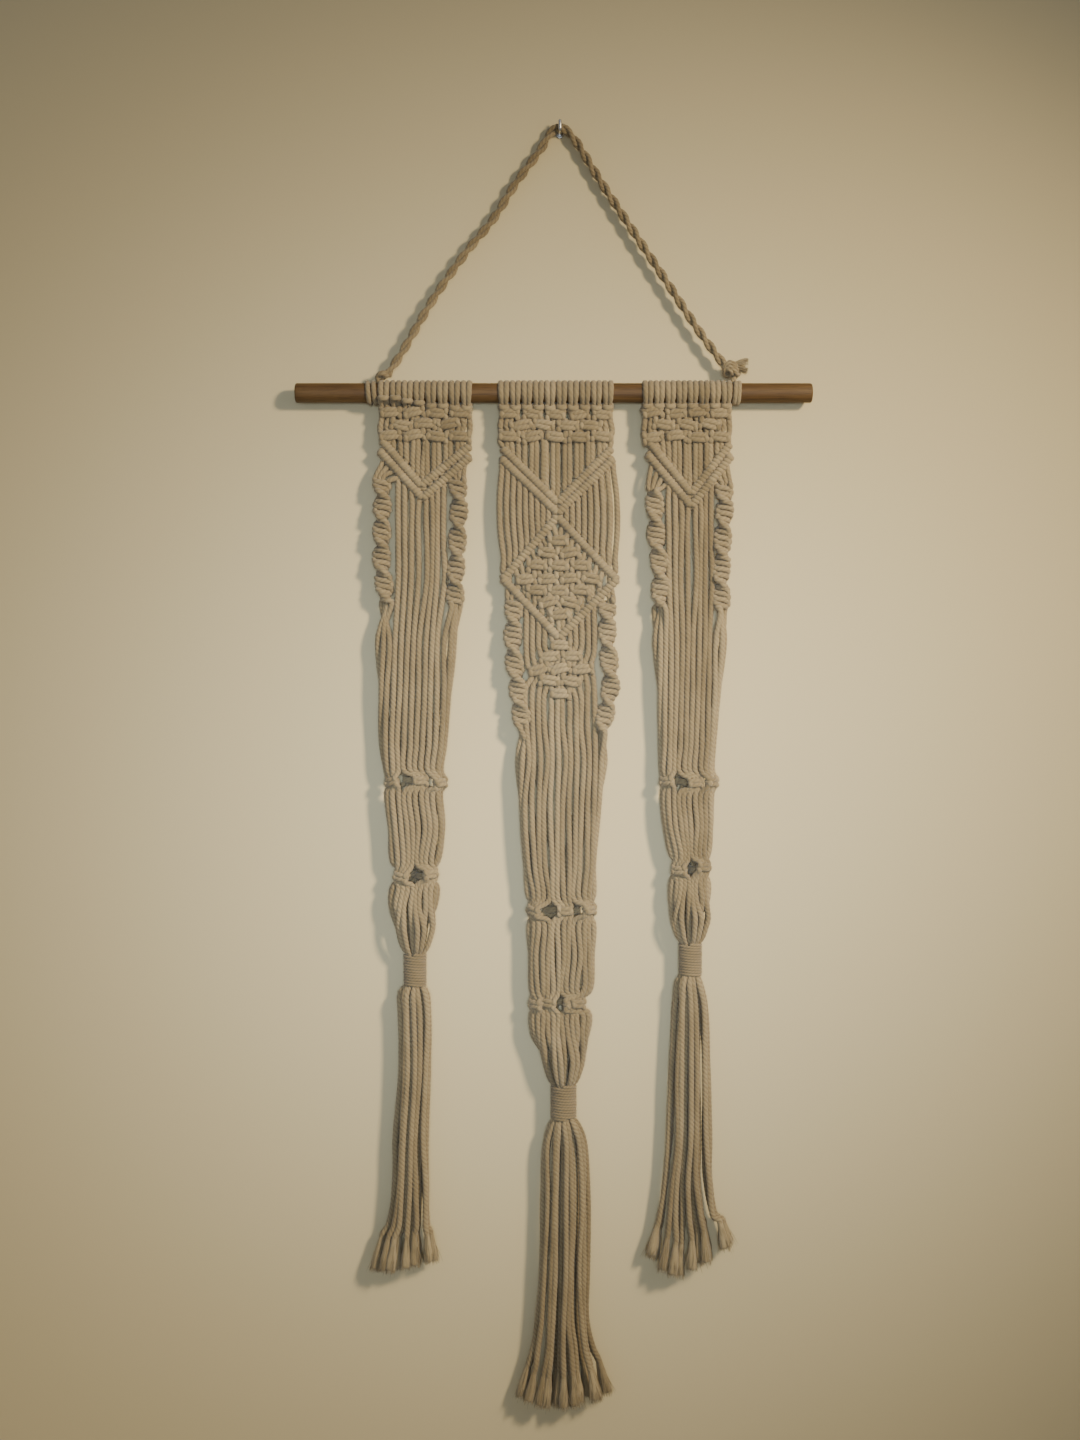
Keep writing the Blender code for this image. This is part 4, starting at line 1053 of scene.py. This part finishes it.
# %% The twisted pair
HANGER = [
    (-151.0, 13.0, -214.0),
    (-145.8, 13.0, -206.0),
    (-139.2, 12.5, -196.2),
    (-110.5, 11.5, -147.0),
    (-81.5, 10.0, -105.3),
    (-58.3, 8.5, -76.4),
    (-38.3, 7.5, -44.4),
    (-16.5, 6.7, -14.4),
    (-7.5, 6.4, 0.2),
    (0.0, 6.3, 5.4),
    (7.5, 6.4, 0.0),
    (13.1, 6.6, -6.4),
    (34.8, 7.5, -41.8),
    (69.6, 9.5, -95.7),
    (91.3, 10.5, -128.8),
    (121.8, 12.0, -175.7),
    (140.9, 13.0, -201.8),
    (145.0, 13.0, -207.0),
]
HANGER_TURN = 30.4
HANGER_CORD = 2.15


def high(x, out, z, size=1.0):
    """A point given by its height in the frame."""
    return at(x, -z - DOWEL_DROP, out, size)


def twisted_pair(path, turn_length, apart):
    line, along = smooth([high(*point) for point in path])
    points = line[:, [0, 2, 1]] * [1, 1, -1]
    side, up = frames(points)
    turned = 2 * math.pi * along / turn_length
    pair = []
    for half in (0, math.pi):
        moved = points + apart * (np.cos(turned + half)[:, None] * side + np.sin(turned + half)[:, None] * up)
        pair.append([at(x, -z, out) for x, out, z in moved])
    return pair


hanger_ways = twisted_pair(HANGER, -HANGER_TURN, 2.0)
print("hanging cord:", round(smooth(hanger_ways[0])[1][-1]), "mm for each of its two cords")

# %% [markdown]
# Each end has an overhand knot, and a loop or two round the dowel beside it. The right knot's cut end
# sticks out and has opened into a tuft.

# %% Knots and loops of the hanging cord
LOOP_SIZE = 1.02
# (across, up, forward) of an overhand knot that is one unit wide, high and deep
OVERHAND = (
    (-1.0, 0.1, 0.0), (-0.55, 0.75, 0.7), (0.15, 0.7, 0.9), (0.7, 0.1, 0.4), (0.35, -0.7, -0.5),
    (-0.4, -0.65, -0.8), (-0.85, 0.0, -0.3), (-0.3, 0.35, 0.9), (0.35, -0.2, 1.0), (0.75, -0.65, 0.2),
    (1.0, -0.3, -0.4),
)


def dowel_loops(start_x, end_x, turns, first, last):
    """Loops round the dowel between two degrees of the first and the last turn, 90 on top."""
    rows = []
    total = 360 * turns + last - first
    for step in range(int(total / 24) + 1):
        degrees = first + total * step / int(total / 24)
        x = start_x + (end_x - start_x) * step / int(total / 24)
        rows.append(around(x, degrees, WRAP_OUT + 0.1, LOOP_SIZE))
    return rows


def overhand(x, z, width, height, deep, lean=0.0):
    """A small overhand knot, seen from the front as two crossing arcs."""
    rows = []
    for a, b, c in OVERHAND:
        rows.append(high(x + a * width, DOWEL_OUT + c * deep, z + b * height + lean * a, 0.9))
    return rows


left_knot = [high(-146.0, 13.0, -206.0)] + overhand(-154.2, -213.4, 4.7, 2.7, 3.2, lean=1.6)[::-1]
left_loops = dowel_loops(-157.9, -168.2, 2, 110, 130) + [around(-167.0, 160, WRAP_OUT - 1.5, 0.6)]
right_knot = [high(143.5, 13.0, -204.0)] + overhand(149.0, -208.6, 7.2, 5.4, 4.6, lean=-1.5)
right_loops = dowel_loops(149.9, 156.0, 2, 100, 120) + [around(155.0, 150, WRAP_OUT - 1.5, 0.6)]
hanger_knots = [
    left_knot + left_loops,
    overhand(-154.4, -213.6, 3.6, 2.6, 2.2, lean=1.2),
    right_knot + [high(152.6, 12.0, -214.6)] + right_loops,
    overhand(147.4, -210.0, 3.4, 2.6, 4.2, lean=-1.0),
    overhand(148.0, -209.6, 6.0, 5.0, 3.4, lean=2.0),
    overhand(150.2, -206.6, 5.0, 4.0, 4.6, lean=-2.0)[::-1],
    [high(148.0, 15.0, -206.0), high(152.5, 15.2, -204.6), high(156.4, 14.2, -204.8, 1.05)],
]
tuft = brush((152.0, -23.9, 14.6), (155.6, -23.8, 14.0), 7.4, 110, 2.6, 4.2)
print("hanger ends:", len(hanger_knots), "ways")

# %% [markdown]
# ## Cotton
# Cotton cord is matt and a little fuzzy, and no two strands have quite the same tone. The grooves between
# its plies get a painted shade. The colour and the fibre relief come from one node group, because the cord
# and its opened ends share them. Fibres run along the plies, so their noise is read from the value kept on
# each point, stretched along the cord. The shader itself stays in each material.

# %% Node helpers
def node(tree, kind, place, **values):
    made = tree.nodes.new(kind)
    made.location = place
    for key, value in values.items():
        setattr(made, key, value)
    return made


def join(tree, start, end):
    tree.links.new(start, end)


def ramp(tree, place, stops):
    made = node(tree, "ShaderNodeValToRGB", place)
    elements = made.color_ramp.elements
    while len(elements) < len(stops):
        elements.new(0.5)
    for element, (position, color) in zip(elements, stops):
        element.position = position
        element.color = (*color, 1.0)
    return made


def noise(tree, place, scale, detail=3.0, rough=0.6):
    made = node(tree, "ShaderNodeTexNoise", place)
    made.inputs["Scale"].default_value = scale
    made.inputs["Detail"].default_value = detail
    made.inputs["Roughness"].default_value = rough
    return made


def maths(tree, place, operation, first, second):
    made = node(tree, "ShaderNodeMath", place, operation=operation)
    for socket, value in zip(made.inputs, (first, second)):
        if isinstance(value, (int, float)):
            socket.default_value = value
        else:
            join(tree, value, socket)
    return made.outputs[0]


def blend_color(tree, place, kind, factor, first, second):
    made = node(tree, "ShaderNodeMix", place, data_type="RGBA", blend_type=kind)
    for key, value in (("Factor_Float", factor), ("A_Color", first), ("B_Color", second)):
        socket = next(item for item in made.inputs if item.identifier == key)
        if isinstance(value, (int, float)):
            socket.default_value = value
        elif isinstance(value, tuple):
            socket.default_value = (*value, 1.0)
        else:
            join(tree, value, socket)
    return next(item for item in made.outputs if item.identifier == "Result_Color")


def new_material(name):
    """A material with its node tree and its shader."""
    material = bpy.data.materials.new(name)
    material.use_nodes = True
    return material, material.node_tree, material.node_tree.nodes["Principled BSDF"]


def add_relief(tree, place, height, strength, distance, shader):
    """A bump of this strength under the shader, distance in metres."""
    relief = node(tree, "ShaderNodeBump", place)
    relief.inputs["Strength"].default_value = strength
    relief.inputs["Distance"].default_value = distance
    join(tree, height, relief.inputs["Height"])
    join(tree, relief.outputs["Normal"], shader.inputs["Normal"])


def stretched(tree, place, source, scale):
    """A texture place that is scaled differently each way."""
    made = node(tree, "ShaderNodeVectorMath", place, operation="MULTIPLY")
    made.inputs[1].default_value = scale
    join(tree, source, made.inputs[0])
    return made.outputs["Vector"]


print("node helpers ready")

# %% The cotton group
cotton_coat = bpy.data.node_groups.new("cotton_coat", "ShaderNodeTree")
for label, kind, value in (
    ("Groove Shade", "NodeSocketFloat", 0.5),
    ("Fibre Scale", "NodeSocketFloat", 2.2),
    ("Strand Spread", "NodeSocketFloat", 0.5),
):
    socket = cotton_coat.interface.new_socket(label, in_out="INPUT", socket_type=kind)
    socket.default_value = value
for label, kind in (
    ("Color", "NodeSocketColor"),
    ("Height", "NodeSocketFloat"),
    ("Rough", "NodeSocketFloat"),
):
    cotton_coat.interface.new_socket(label, in_out="OUTPUT", socket_type=kind)
given = node(cotton_coat, "NodeGroupInput", (-1300, 0))
result = node(cotton_coat, "NodeGroupOutput", (700, 0))
shade = node(cotton_coat, "ShaderNodeAttribute", (-1300, 300), attribute_name="cord_shade")
parts = node(cotton_coat, "ShaderNodeSeparateColor", (-1100, 300))
join(cotton_coat, shade.outputs["Color"], parts.inputs["Color"])
coat = node(cotton_coat, "ShaderNodeAttribute", (-1300, -300), attribute_name="cord_lay")
along_plies = stretched(cotton_coat, (-1100, -300), coat.outputs["Vector"], (2.6, 2.6, 0.5))
fibres = noise(cotton_coat, (-900, -300), 2.2, 4.0, 0.7)
join(cotton_coat, along_plies, fibres.inputs["Vector"])
join(cotton_coat, given.outputs["Fibre Scale"], fibres.inputs["Scale"])
place = node(cotton_coat, "ShaderNodeTexCoord", (-1300, -600))
mottle = noise(cotton_coat, (-900, -600), 34.0, 3.0, 0.6)
join(cotton_coat, place.outputs["Object"], mottle.inputs["Vector"])
lint = noise(cotton_coat, (-900, -850), 1900.0, 2.0, 0.7)
join(cotton_coat, place.outputs["Object"], lint.inputs["Vector"])
streak = maths(cotton_coat, (-650, -300), "MULTIPLY", fibres.outputs["Fac"], 0.46)
cloud = maths(cotton_coat, (-650, -600), "MULTIPLY", mottle.outputs["Fac"], 0.38)
spread = maths(cotton_coat, (-650, 100), "MULTIPLY", parts.outputs["Green"], given.outputs["Strand Spread"])
uneven_tone = maths(cotton_coat, (-550, -400), "ADD", streak, cloud)
mixed = maths(cotton_coat, (-450, -200), "ADD", uneven_tone, spread)
COTTON_DARK = (0.178, 0.132, 0.065)
COTTON = (0.34, 0.257, 0.138)
COTTON_LIGHT = (0.48, 0.378, 0.218)
PAINTED_SHADE_BROWN = (0.13, 0.082, 0.042)
body = ramp(cotton_coat, (-250, -100), [(0.3, COTTON_DARK), (0.58, COTTON), (0.92, COTTON_LIGHT)])
join(cotton_coat, mixed, body.inputs["Fac"])
# Painted shade: the grooves between the plies are mixed toward a dark brown that stands in for the shade
# falling in them.
deep = maths(cotton_coat, (-450, 300), "MULTIPLY", parts.outputs["Red"], given.outputs["Groove Shade"])
with_painted_groove_shade = blend_color(cotton_coat, (100, 100), "MIX", deep, body.outputs["Color"], PAINTED_SHADE_BROWN)
join(cotton_coat, with_painted_groove_shade, result.inputs["Color"])
low_lint = maths(cotton_coat, (-100, -500), "MULTIPLY", lint.outputs["Fac"], 0.5)
height = maths(cotton_coat, (100, -300), "ADD", fibres.outputs["Fac"], low_lint)
join(cotton_coat, height, result.inputs["Height"])
rough_fibres = maths(cotton_coat, (-100, -700), "MULTIPLY", fibres.outputs["Fac"], 0.12)
rough = maths(cotton_coat, (100, -500), "ADD", rough_fibres, 0.8)
join(cotton_coat, rough, result.inputs["Rough"])
print("cotton group:", len(cotton_coat.nodes), "nodes")


# %% Cotton cord and opened cotton
def cotton_material(name, groove, scale, spread, sheen, bump):
    material, tree, shader = new_material(name)
    group = node(tree, "ShaderNodeGroup", (-500, 100), node_tree=cotton_coat)
    group.inputs["Groove Shade"].default_value = groove
    group.inputs["Fibre Scale"].default_value = scale
    group.inputs["Strand Spread"].default_value = spread
    join(tree, group.outputs["Color"], shader.inputs["Base Color"])
    join(tree, group.outputs["Rough"], shader.inputs["Roughness"])
    add_relief(tree, (-250, -200), group.outputs["Height"], bump, 0.0006, shader)
    shader.inputs["Sheen Weight"].default_value = sheen
    shader.inputs["Sheen Roughness"].default_value = 0.6
    shader.inputs["Specular IOR Level"].default_value = 0.2
    return material


# The second number is the strength of the painted shade in the ply grooves.
cotton = cotton_material("cotton_cord", 0.55, 2.2, 0.22, 0.25, 0.7)
opened = cotton_material("opened_cotton", 0.3, 2.0, 0.35, 0.3, 0.6)
print("cotton materials:", cotton.name, opened.name)

# %% [markdown]
# ## Laying the cords
# With every way known, each panel becomes two meshes of rope, left and right, and its carriers a third.
# They replace the plain solids, which stay for collision.

# %% Lay the panels, wraps and tassels
def finish_piece(made, material, *nodes):
    made.data.materials.append(material)
    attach(made, "root")
    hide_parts(*nodes)
    return made


for side in SIDES:
    half = len(ways[side]) // 2
    # A head's two strands are one cord, so their ways are joined at the middle of the bar.
    cords = [ways[side][number][::-1] + ways[side][number + 1][1:] for number in range(0, 2 * half, 2)]
    middle = len(cords) // 2
    for label, group in (("first", cords[:middle]), ("second", cords[middle:])):
        finish_piece(lay(f"{side}_{label}_cords", group), cotton, side + "_panel")
    finish_piece(lay(side + "_carriers", carriers[side]), cotton, side + "_panel")
    wrap_cord = lay(side + "_wrap_cord", [wrap_way(WRAPS[side])], radius=WRAP_CORD, turn=8.0, spacing=1.3)
    finish_piece(wrap_cord, cotton, side + "_wrap")
    finish_piece(lay(side + "_tassel_cords", tassel_ways[side]), cotton, side + "_tassel")
    lines, sizes, masses = tassel_fibres(side, FIBRES_PER_END)
    finish_piece(fibre_tubes(side + "_tassel_ends", lines, sizes), opened, side + "_tassel")
    finish_piece(lay(side + "_tassel_fluff", masses, turn=60.0), opened, side + "_tassel")

# %% Lay the hanging cord
finish_piece(lay("hanger_pair", hanger_ways, radius=HANGER_CORD, spacing=1.5), cotton, "hanging_cord")
finish_piece(lay("hanger_knots", hanger_knots, radius=HANGER_CORD, spacing=1.3), cotton, "hanging_cord")
tuft_sizes = chance.uniform(0.28, 0.42, len(tuft))
finish_piece(fibre_tubes("hanger_tuft", tuft, tuft_sizes), opened, "hanging_cord")

# %% [markdown]
# ## Dowel
# The rod is plain stained wood. It is turned from a profile with eased ends, with enough sides to look
# round. Its grain is a noise stretched along the rod, with fine pores.

# %% Turn the dowel
def turned_rod(name, profile, sides):
    """A rod along X from (x, radius) points in millimetres."""
    work = bmesh.new()
    rings = []
    for x, radius in profile:
        ring = []
        for step in range(sides):
            turn = 2 * math.pi * step / sides
            y, z = -DOWEL_OUT + radius * math.cos(turn), -DOWEL_DROP + radius * math.sin(turn)
            ring.append(work.verts.new((x * MM, y * MM, z * MM)))
        rings.append(ring)
    for first, second in zip(rings, rings[1:]):
        for step in range(sides):
            work.faces.new((first[step], first[(step + 1) % sides], second[(step + 1) % sides], second[step]))
    work.faces.new(rings[0][::-1])
    work.faces.new(rings[-1])
    bmesh.ops.recalc_face_normals(work, faces=work.faces)
    mesh = bpy.data.meshes.new(name)
    work.to_mesh(mesh)
    work.free()
    mesh.shade_smooth()
    mesh.set_sharp_from_angle(angle=math.radians(50))
    return add_object(name, mesh)


DOWEL_SIDES = 48
# (distance from the end, radius) of the eased ends
EASED = ((0.0, 7.0), (0.25, 7.6), (0.75, 8.15), (1.5, 8.38))
rod_profile = [(DOWEL_LEFT + inside, radius) for inside, radius in EASED]
rod_profile += [(DOWEL_LEFT + 12 + 17.4 * step, DOWEL_RADIUS) for step in range(25)]
rod_profile += [(DOWEL_RIGHT - inside, radius) for inside, radius in reversed(EASED)]
rod = turned_rod("turned_dowel", rod_profile, DOWEL_SIDES)
print("dowel:", len(rod.data.polygons), "faces")

# %% Stained wood
GRAIN_STRETCH = (9.0, 160.0, 160.0)
PORE_STRETCH = (60.0, 1500.0, 1500.0)
WOOD_TONES = [(0.3, (0.072, 0.034, 0.009)), (0.52, (0.118, 0.06, 0.016)), (0.75, (0.15, 0.084, 0.026))]
stained, tree, shader = new_material("stained_wood")
place = node(tree, "ShaderNodeTexCoord", (-1200, 0))
along_grain = stretched(tree, (-1000, 0), place.outputs["Object"], GRAIN_STRETCH)
grain = noise(tree, (-800, 100), 1.6, 6.0, 0.62)
join(tree, along_grain, grain.inputs["Vector"])
along_pores = stretched(tree, (-1000, -300), place.outputs["Object"], PORE_STRETCH)
pores = noise(tree, (-800, -300), 1.0, 3.0, 0.6)
join(tree, along_pores, pores.inputs["Vector"])
tones = ramp(tree, (-550, 100), WOOD_TONES)
join(tree, grain.outputs["Fac"], tones.inputs["Fac"])
dark_pores = ramp(tree, (-550, -300), [(0.36, (0.45, 0.45, 0.45)), (0.5, (1.0, 1.0, 1.0))])
join(tree, pores.outputs["Fac"], dark_pores.inputs["Fac"])
wood = blend_color(tree, (-250, 0), "MULTIPLY", 0.7, tones.outputs["Color"], dark_pores.outputs["Color"])
join(tree, wood, shader.inputs["Base Color"])
rough_grain = maths(tree, (-400, -500), "MULTIPLY", grain.outputs["Fac"], 0.2)
join(tree, maths(tree, (-250, -200), "ADD", rough_grain, 0.52), shader.inputs["Roughness"])
add_relief(tree, (-250, -400), pores.outputs["Fac"], 0.35, 0.0003, shader)
rod.data.materials.append(stained)
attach(rod, "root")
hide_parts("dowel")
print("wood ready")

# %% [markdown]
# ## Wall hook
# A short bright wire comes out of a round plate under the cord and turns up in front of it.

# %% Bend the hook
HOOK_WIRE = 1.5
HOOK_OUT = 12.2
HOOK_BEND = 3.0
PLATE_RADIUS = 3.4
PLATE_THICK = 1.2
hook_line = [(0.0, PLATE_THICK / 2, 0.0)]
for step in range(9):
    turn = math.pi / 2 * step / 8
    out = HOOK_OUT - HOOK_BEND * (1 - math.sin(turn))
    hook_line.append((0.0, out, HOOK_BEND * (1 - math.cos(turn))))
hook_line += [(0.0, HOOK_OUT, high_up) for high_up in (6.0, 8.2, 9.1, 9.5)]
hook_curve = bpy.data.curves.new("hook_wire", "CURVE")
hook_curve.dimensions = "3D"
hook_curve.bevel_depth = HOOK_WIRE * MM
hook_curve.bevel_resolution = 5
hook_curve.use_fill_caps = True
spline = hook_curve.splines.new("POLY")
spline.points.add(len(hook_line) - 1)
for point, (x, out, z) in zip(spline.points, hook_line):
    point.co = (x * MM, -out * MM, z * MM, 1.0)
spline.points[-1].radius = 0.55
spline.points[-2].radius = 0.9
spline.use_smooth = True
wire = add_object("hook_wire", hook_curve)
work = bmesh.new()
disc = {"radius1": PLATE_RADIUS * MM, "radius2": PLATE_RADIUS * MM, "depth": PLATE_THICK * MM}
bmesh.ops.create_cone(work, cap_ends=True, segments=48, **disc)
rim = [edge for edge in work.edges if all(vert.co.z > 0 for vert in edge.verts) and len(edge.link_faces) == 2]
bmesh.ops.bevel(work, geom=rim, offset=0.4 * MM, segments=3, affect="EDGES")
bmesh.ops.rotate(work, matrix=Matrix.Rotation(math.pi / 2, 3, "X"), verts=work.verts)
bmesh.ops.translate(work, vec=(0, -PLATE_THICK / 2 * MM, 0), verts=work.verts)
plate_mesh = bpy.data.meshes.new("hook_plate")
work.to_mesh(plate_mesh)
work.free()
plate_mesh.shade_smooth()
plate_mesh.set_sharp_from_angle(angle=math.radians(40))
plate = add_object("hook_plate", plate_mesh)

bright, tree, shader = new_material("bright_steel")
shader.inputs["Metallic"].default_value = 1.0
place = node(tree, "ShaderNodeTexCoord", (-900, 0))
scuffs = noise(tree, (-700, 0), 900.0, 3.0, 0.6)
join(tree, place.outputs["Object"], scuffs.inputs["Vector"])
rough_scuffs = maths(tree, (-500, -150), "MULTIPLY", scuffs.outputs["Fac"], 0.2)
join(tree, maths(tree, (-300, -150), "ADD", rough_scuffs, 0.16), shader.inputs["Roughness"])
steel_tones = ramp(tree, (-400, 150), [(0.3, (0.56, 0.55, 0.53)), (0.7, (0.74, 0.73, 0.71))])
join(tree, scuffs.outputs["Fac"], steel_tones.inputs["Fac"])
join(tree, steel_tones.outputs["Color"], shader.inputs["Base Color"])
for made in (wire, plate):
    made.data.materials.append(bright)
    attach(made, "root")
    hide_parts("wall_hook")
print("hook ready")

# %% [markdown]
# ## Wall, floor and light
# The hanging is shown on a plain wall with warm light from the upper right, which throws a soft shadow
# to the left. A weaker cool light from the front is narrow, so it brightens the middle of the wall. The
# wall shows from the front only, so that the back of the hanging can be looked at.

# %% Stage
def card(name, corners):
    mesh = bpy.data.meshes.new(name)
    mesh.from_pydata(corners, [], [(0, 1, 2, 3)])
    made = add_object(name, mesh)
    return made


SIDE = 2.2
GROUND = -1.45
WALL_TOP = 1.3
WALL_Y = 0.0005
low = [(-SIDE, WALL_Y, GROUND), (SIDE, WALL_Y, GROUND)]
tall = [(SIDE, WALL_Y, WALL_TOP), (-SIDE, WALL_Y, WALL_TOP)]
wall = card("wall", [*low, *tall])
near = [(-SIDE, -3.6, GROUND), (SIDE, -3.6, GROUND)]
beyond = [(SIDE, 2.0, GROUND), (-SIDE, 2.0, GROUND)]
floor = card("floor", [*near, *beyond])
plaster, tree, shader = new_material("plain_wall")
shader.inputs["Base Color"].default_value = (0.67, 0.565, 0.345, 1.0)
shader.inputs["Roughness"].default_value = 0.92
clear = node(tree, "ShaderNodeBsdfTransparent", (0, -200))
sides = node(tree, "ShaderNodeNewGeometry", (0, 300))
either = node(tree, "ShaderNodeMixShader", (300, 0))
join(tree, sides.outputs["Backfacing"], either.inputs[0])
join(tree, shader.outputs[0], either.inputs[1])
join(tree, clear.outputs[0], either.inputs[2])
join(tree, either.outputs[0], tree.nodes["Material Output"].inputs["Surface"])
wall.data.materials.append(plaster)
pale, tree, shader = new_material("pale_floor")
shader.inputs["Base Color"].default_value = (0.7, 0.68, 0.64, 1.0)
shader.inputs["Roughness"].default_value = 0.9
floor.data.materials.append(pale)


def soft_light(name, spot, target, size, spread, power, color):
    data = bpy.data.lights.new(name, "AREA")
    data.shape = "DISK"
    data.spread = math.radians(spread)
    data.size = size
    data.energy = power
    data.color = color
    made = add_object(name, data)
    made.location = spot
    made.rotation_euler = (Vector(target) - Vector(spot)).to_track_quat("-Z", "Y").to_euler()


soft_light("key", (1.05, -1.3, 0.15), (-0.08, 0.0, -0.6), 0.24, 55.0, 4.15, (1.0, 0.83, 0.54))
soft_light("fill", (0.0, -1.9, -0.5), (0.0, 0.0, -0.58), 0.5, 33.0, 1.05, (0.72, 0.86, 1.0))
world = bpy.data.worlds.new("soft_room")
world.use_nodes = True
world.node_tree.nodes["Background"].inputs["Color"].default_value = (0.88, 0.94, 1.0, 1.0)
world.node_tree.nodes["Background"].inputs["Strength"].default_value = 0.27
bpy.context.scene.world = world
print("stage ready")

# %% [markdown]
# ## Camera
# It looks straight at the wall, from 1.6 m in front of the dowel. There the frame is 1.253 m high.

# %% Camera
VIEW_MIDDLE = (-0.0174, -0.5133)
VIEW_HEIGHT = 1.2528
VIEW_DISTANCE = 1.6
SENSOR_HEIGHT = 24.0
camera_data = bpy.data.cameras.new("camera")
camera_data.sensor_fit = "VERTICAL"
camera_data.sensor_height = SENSOR_HEIGHT
camera_data.lens = SENSOR_HEIGHT * VIEW_DISTANCE / VIEW_HEIGHT
camera = add_object("camera", camera_data)
camera.location = (VIEW_MIDDLE[0], -VIEW_DISTANCE - DOWEL_OUT * MM, VIEW_MIDDLE[1])
camera.rotation_euler = (math.pi / 2, 0.0, 0.0)
bpy.context.scene.camera = camera
print("lens:", round(camera_data.lens, 1), "mm")
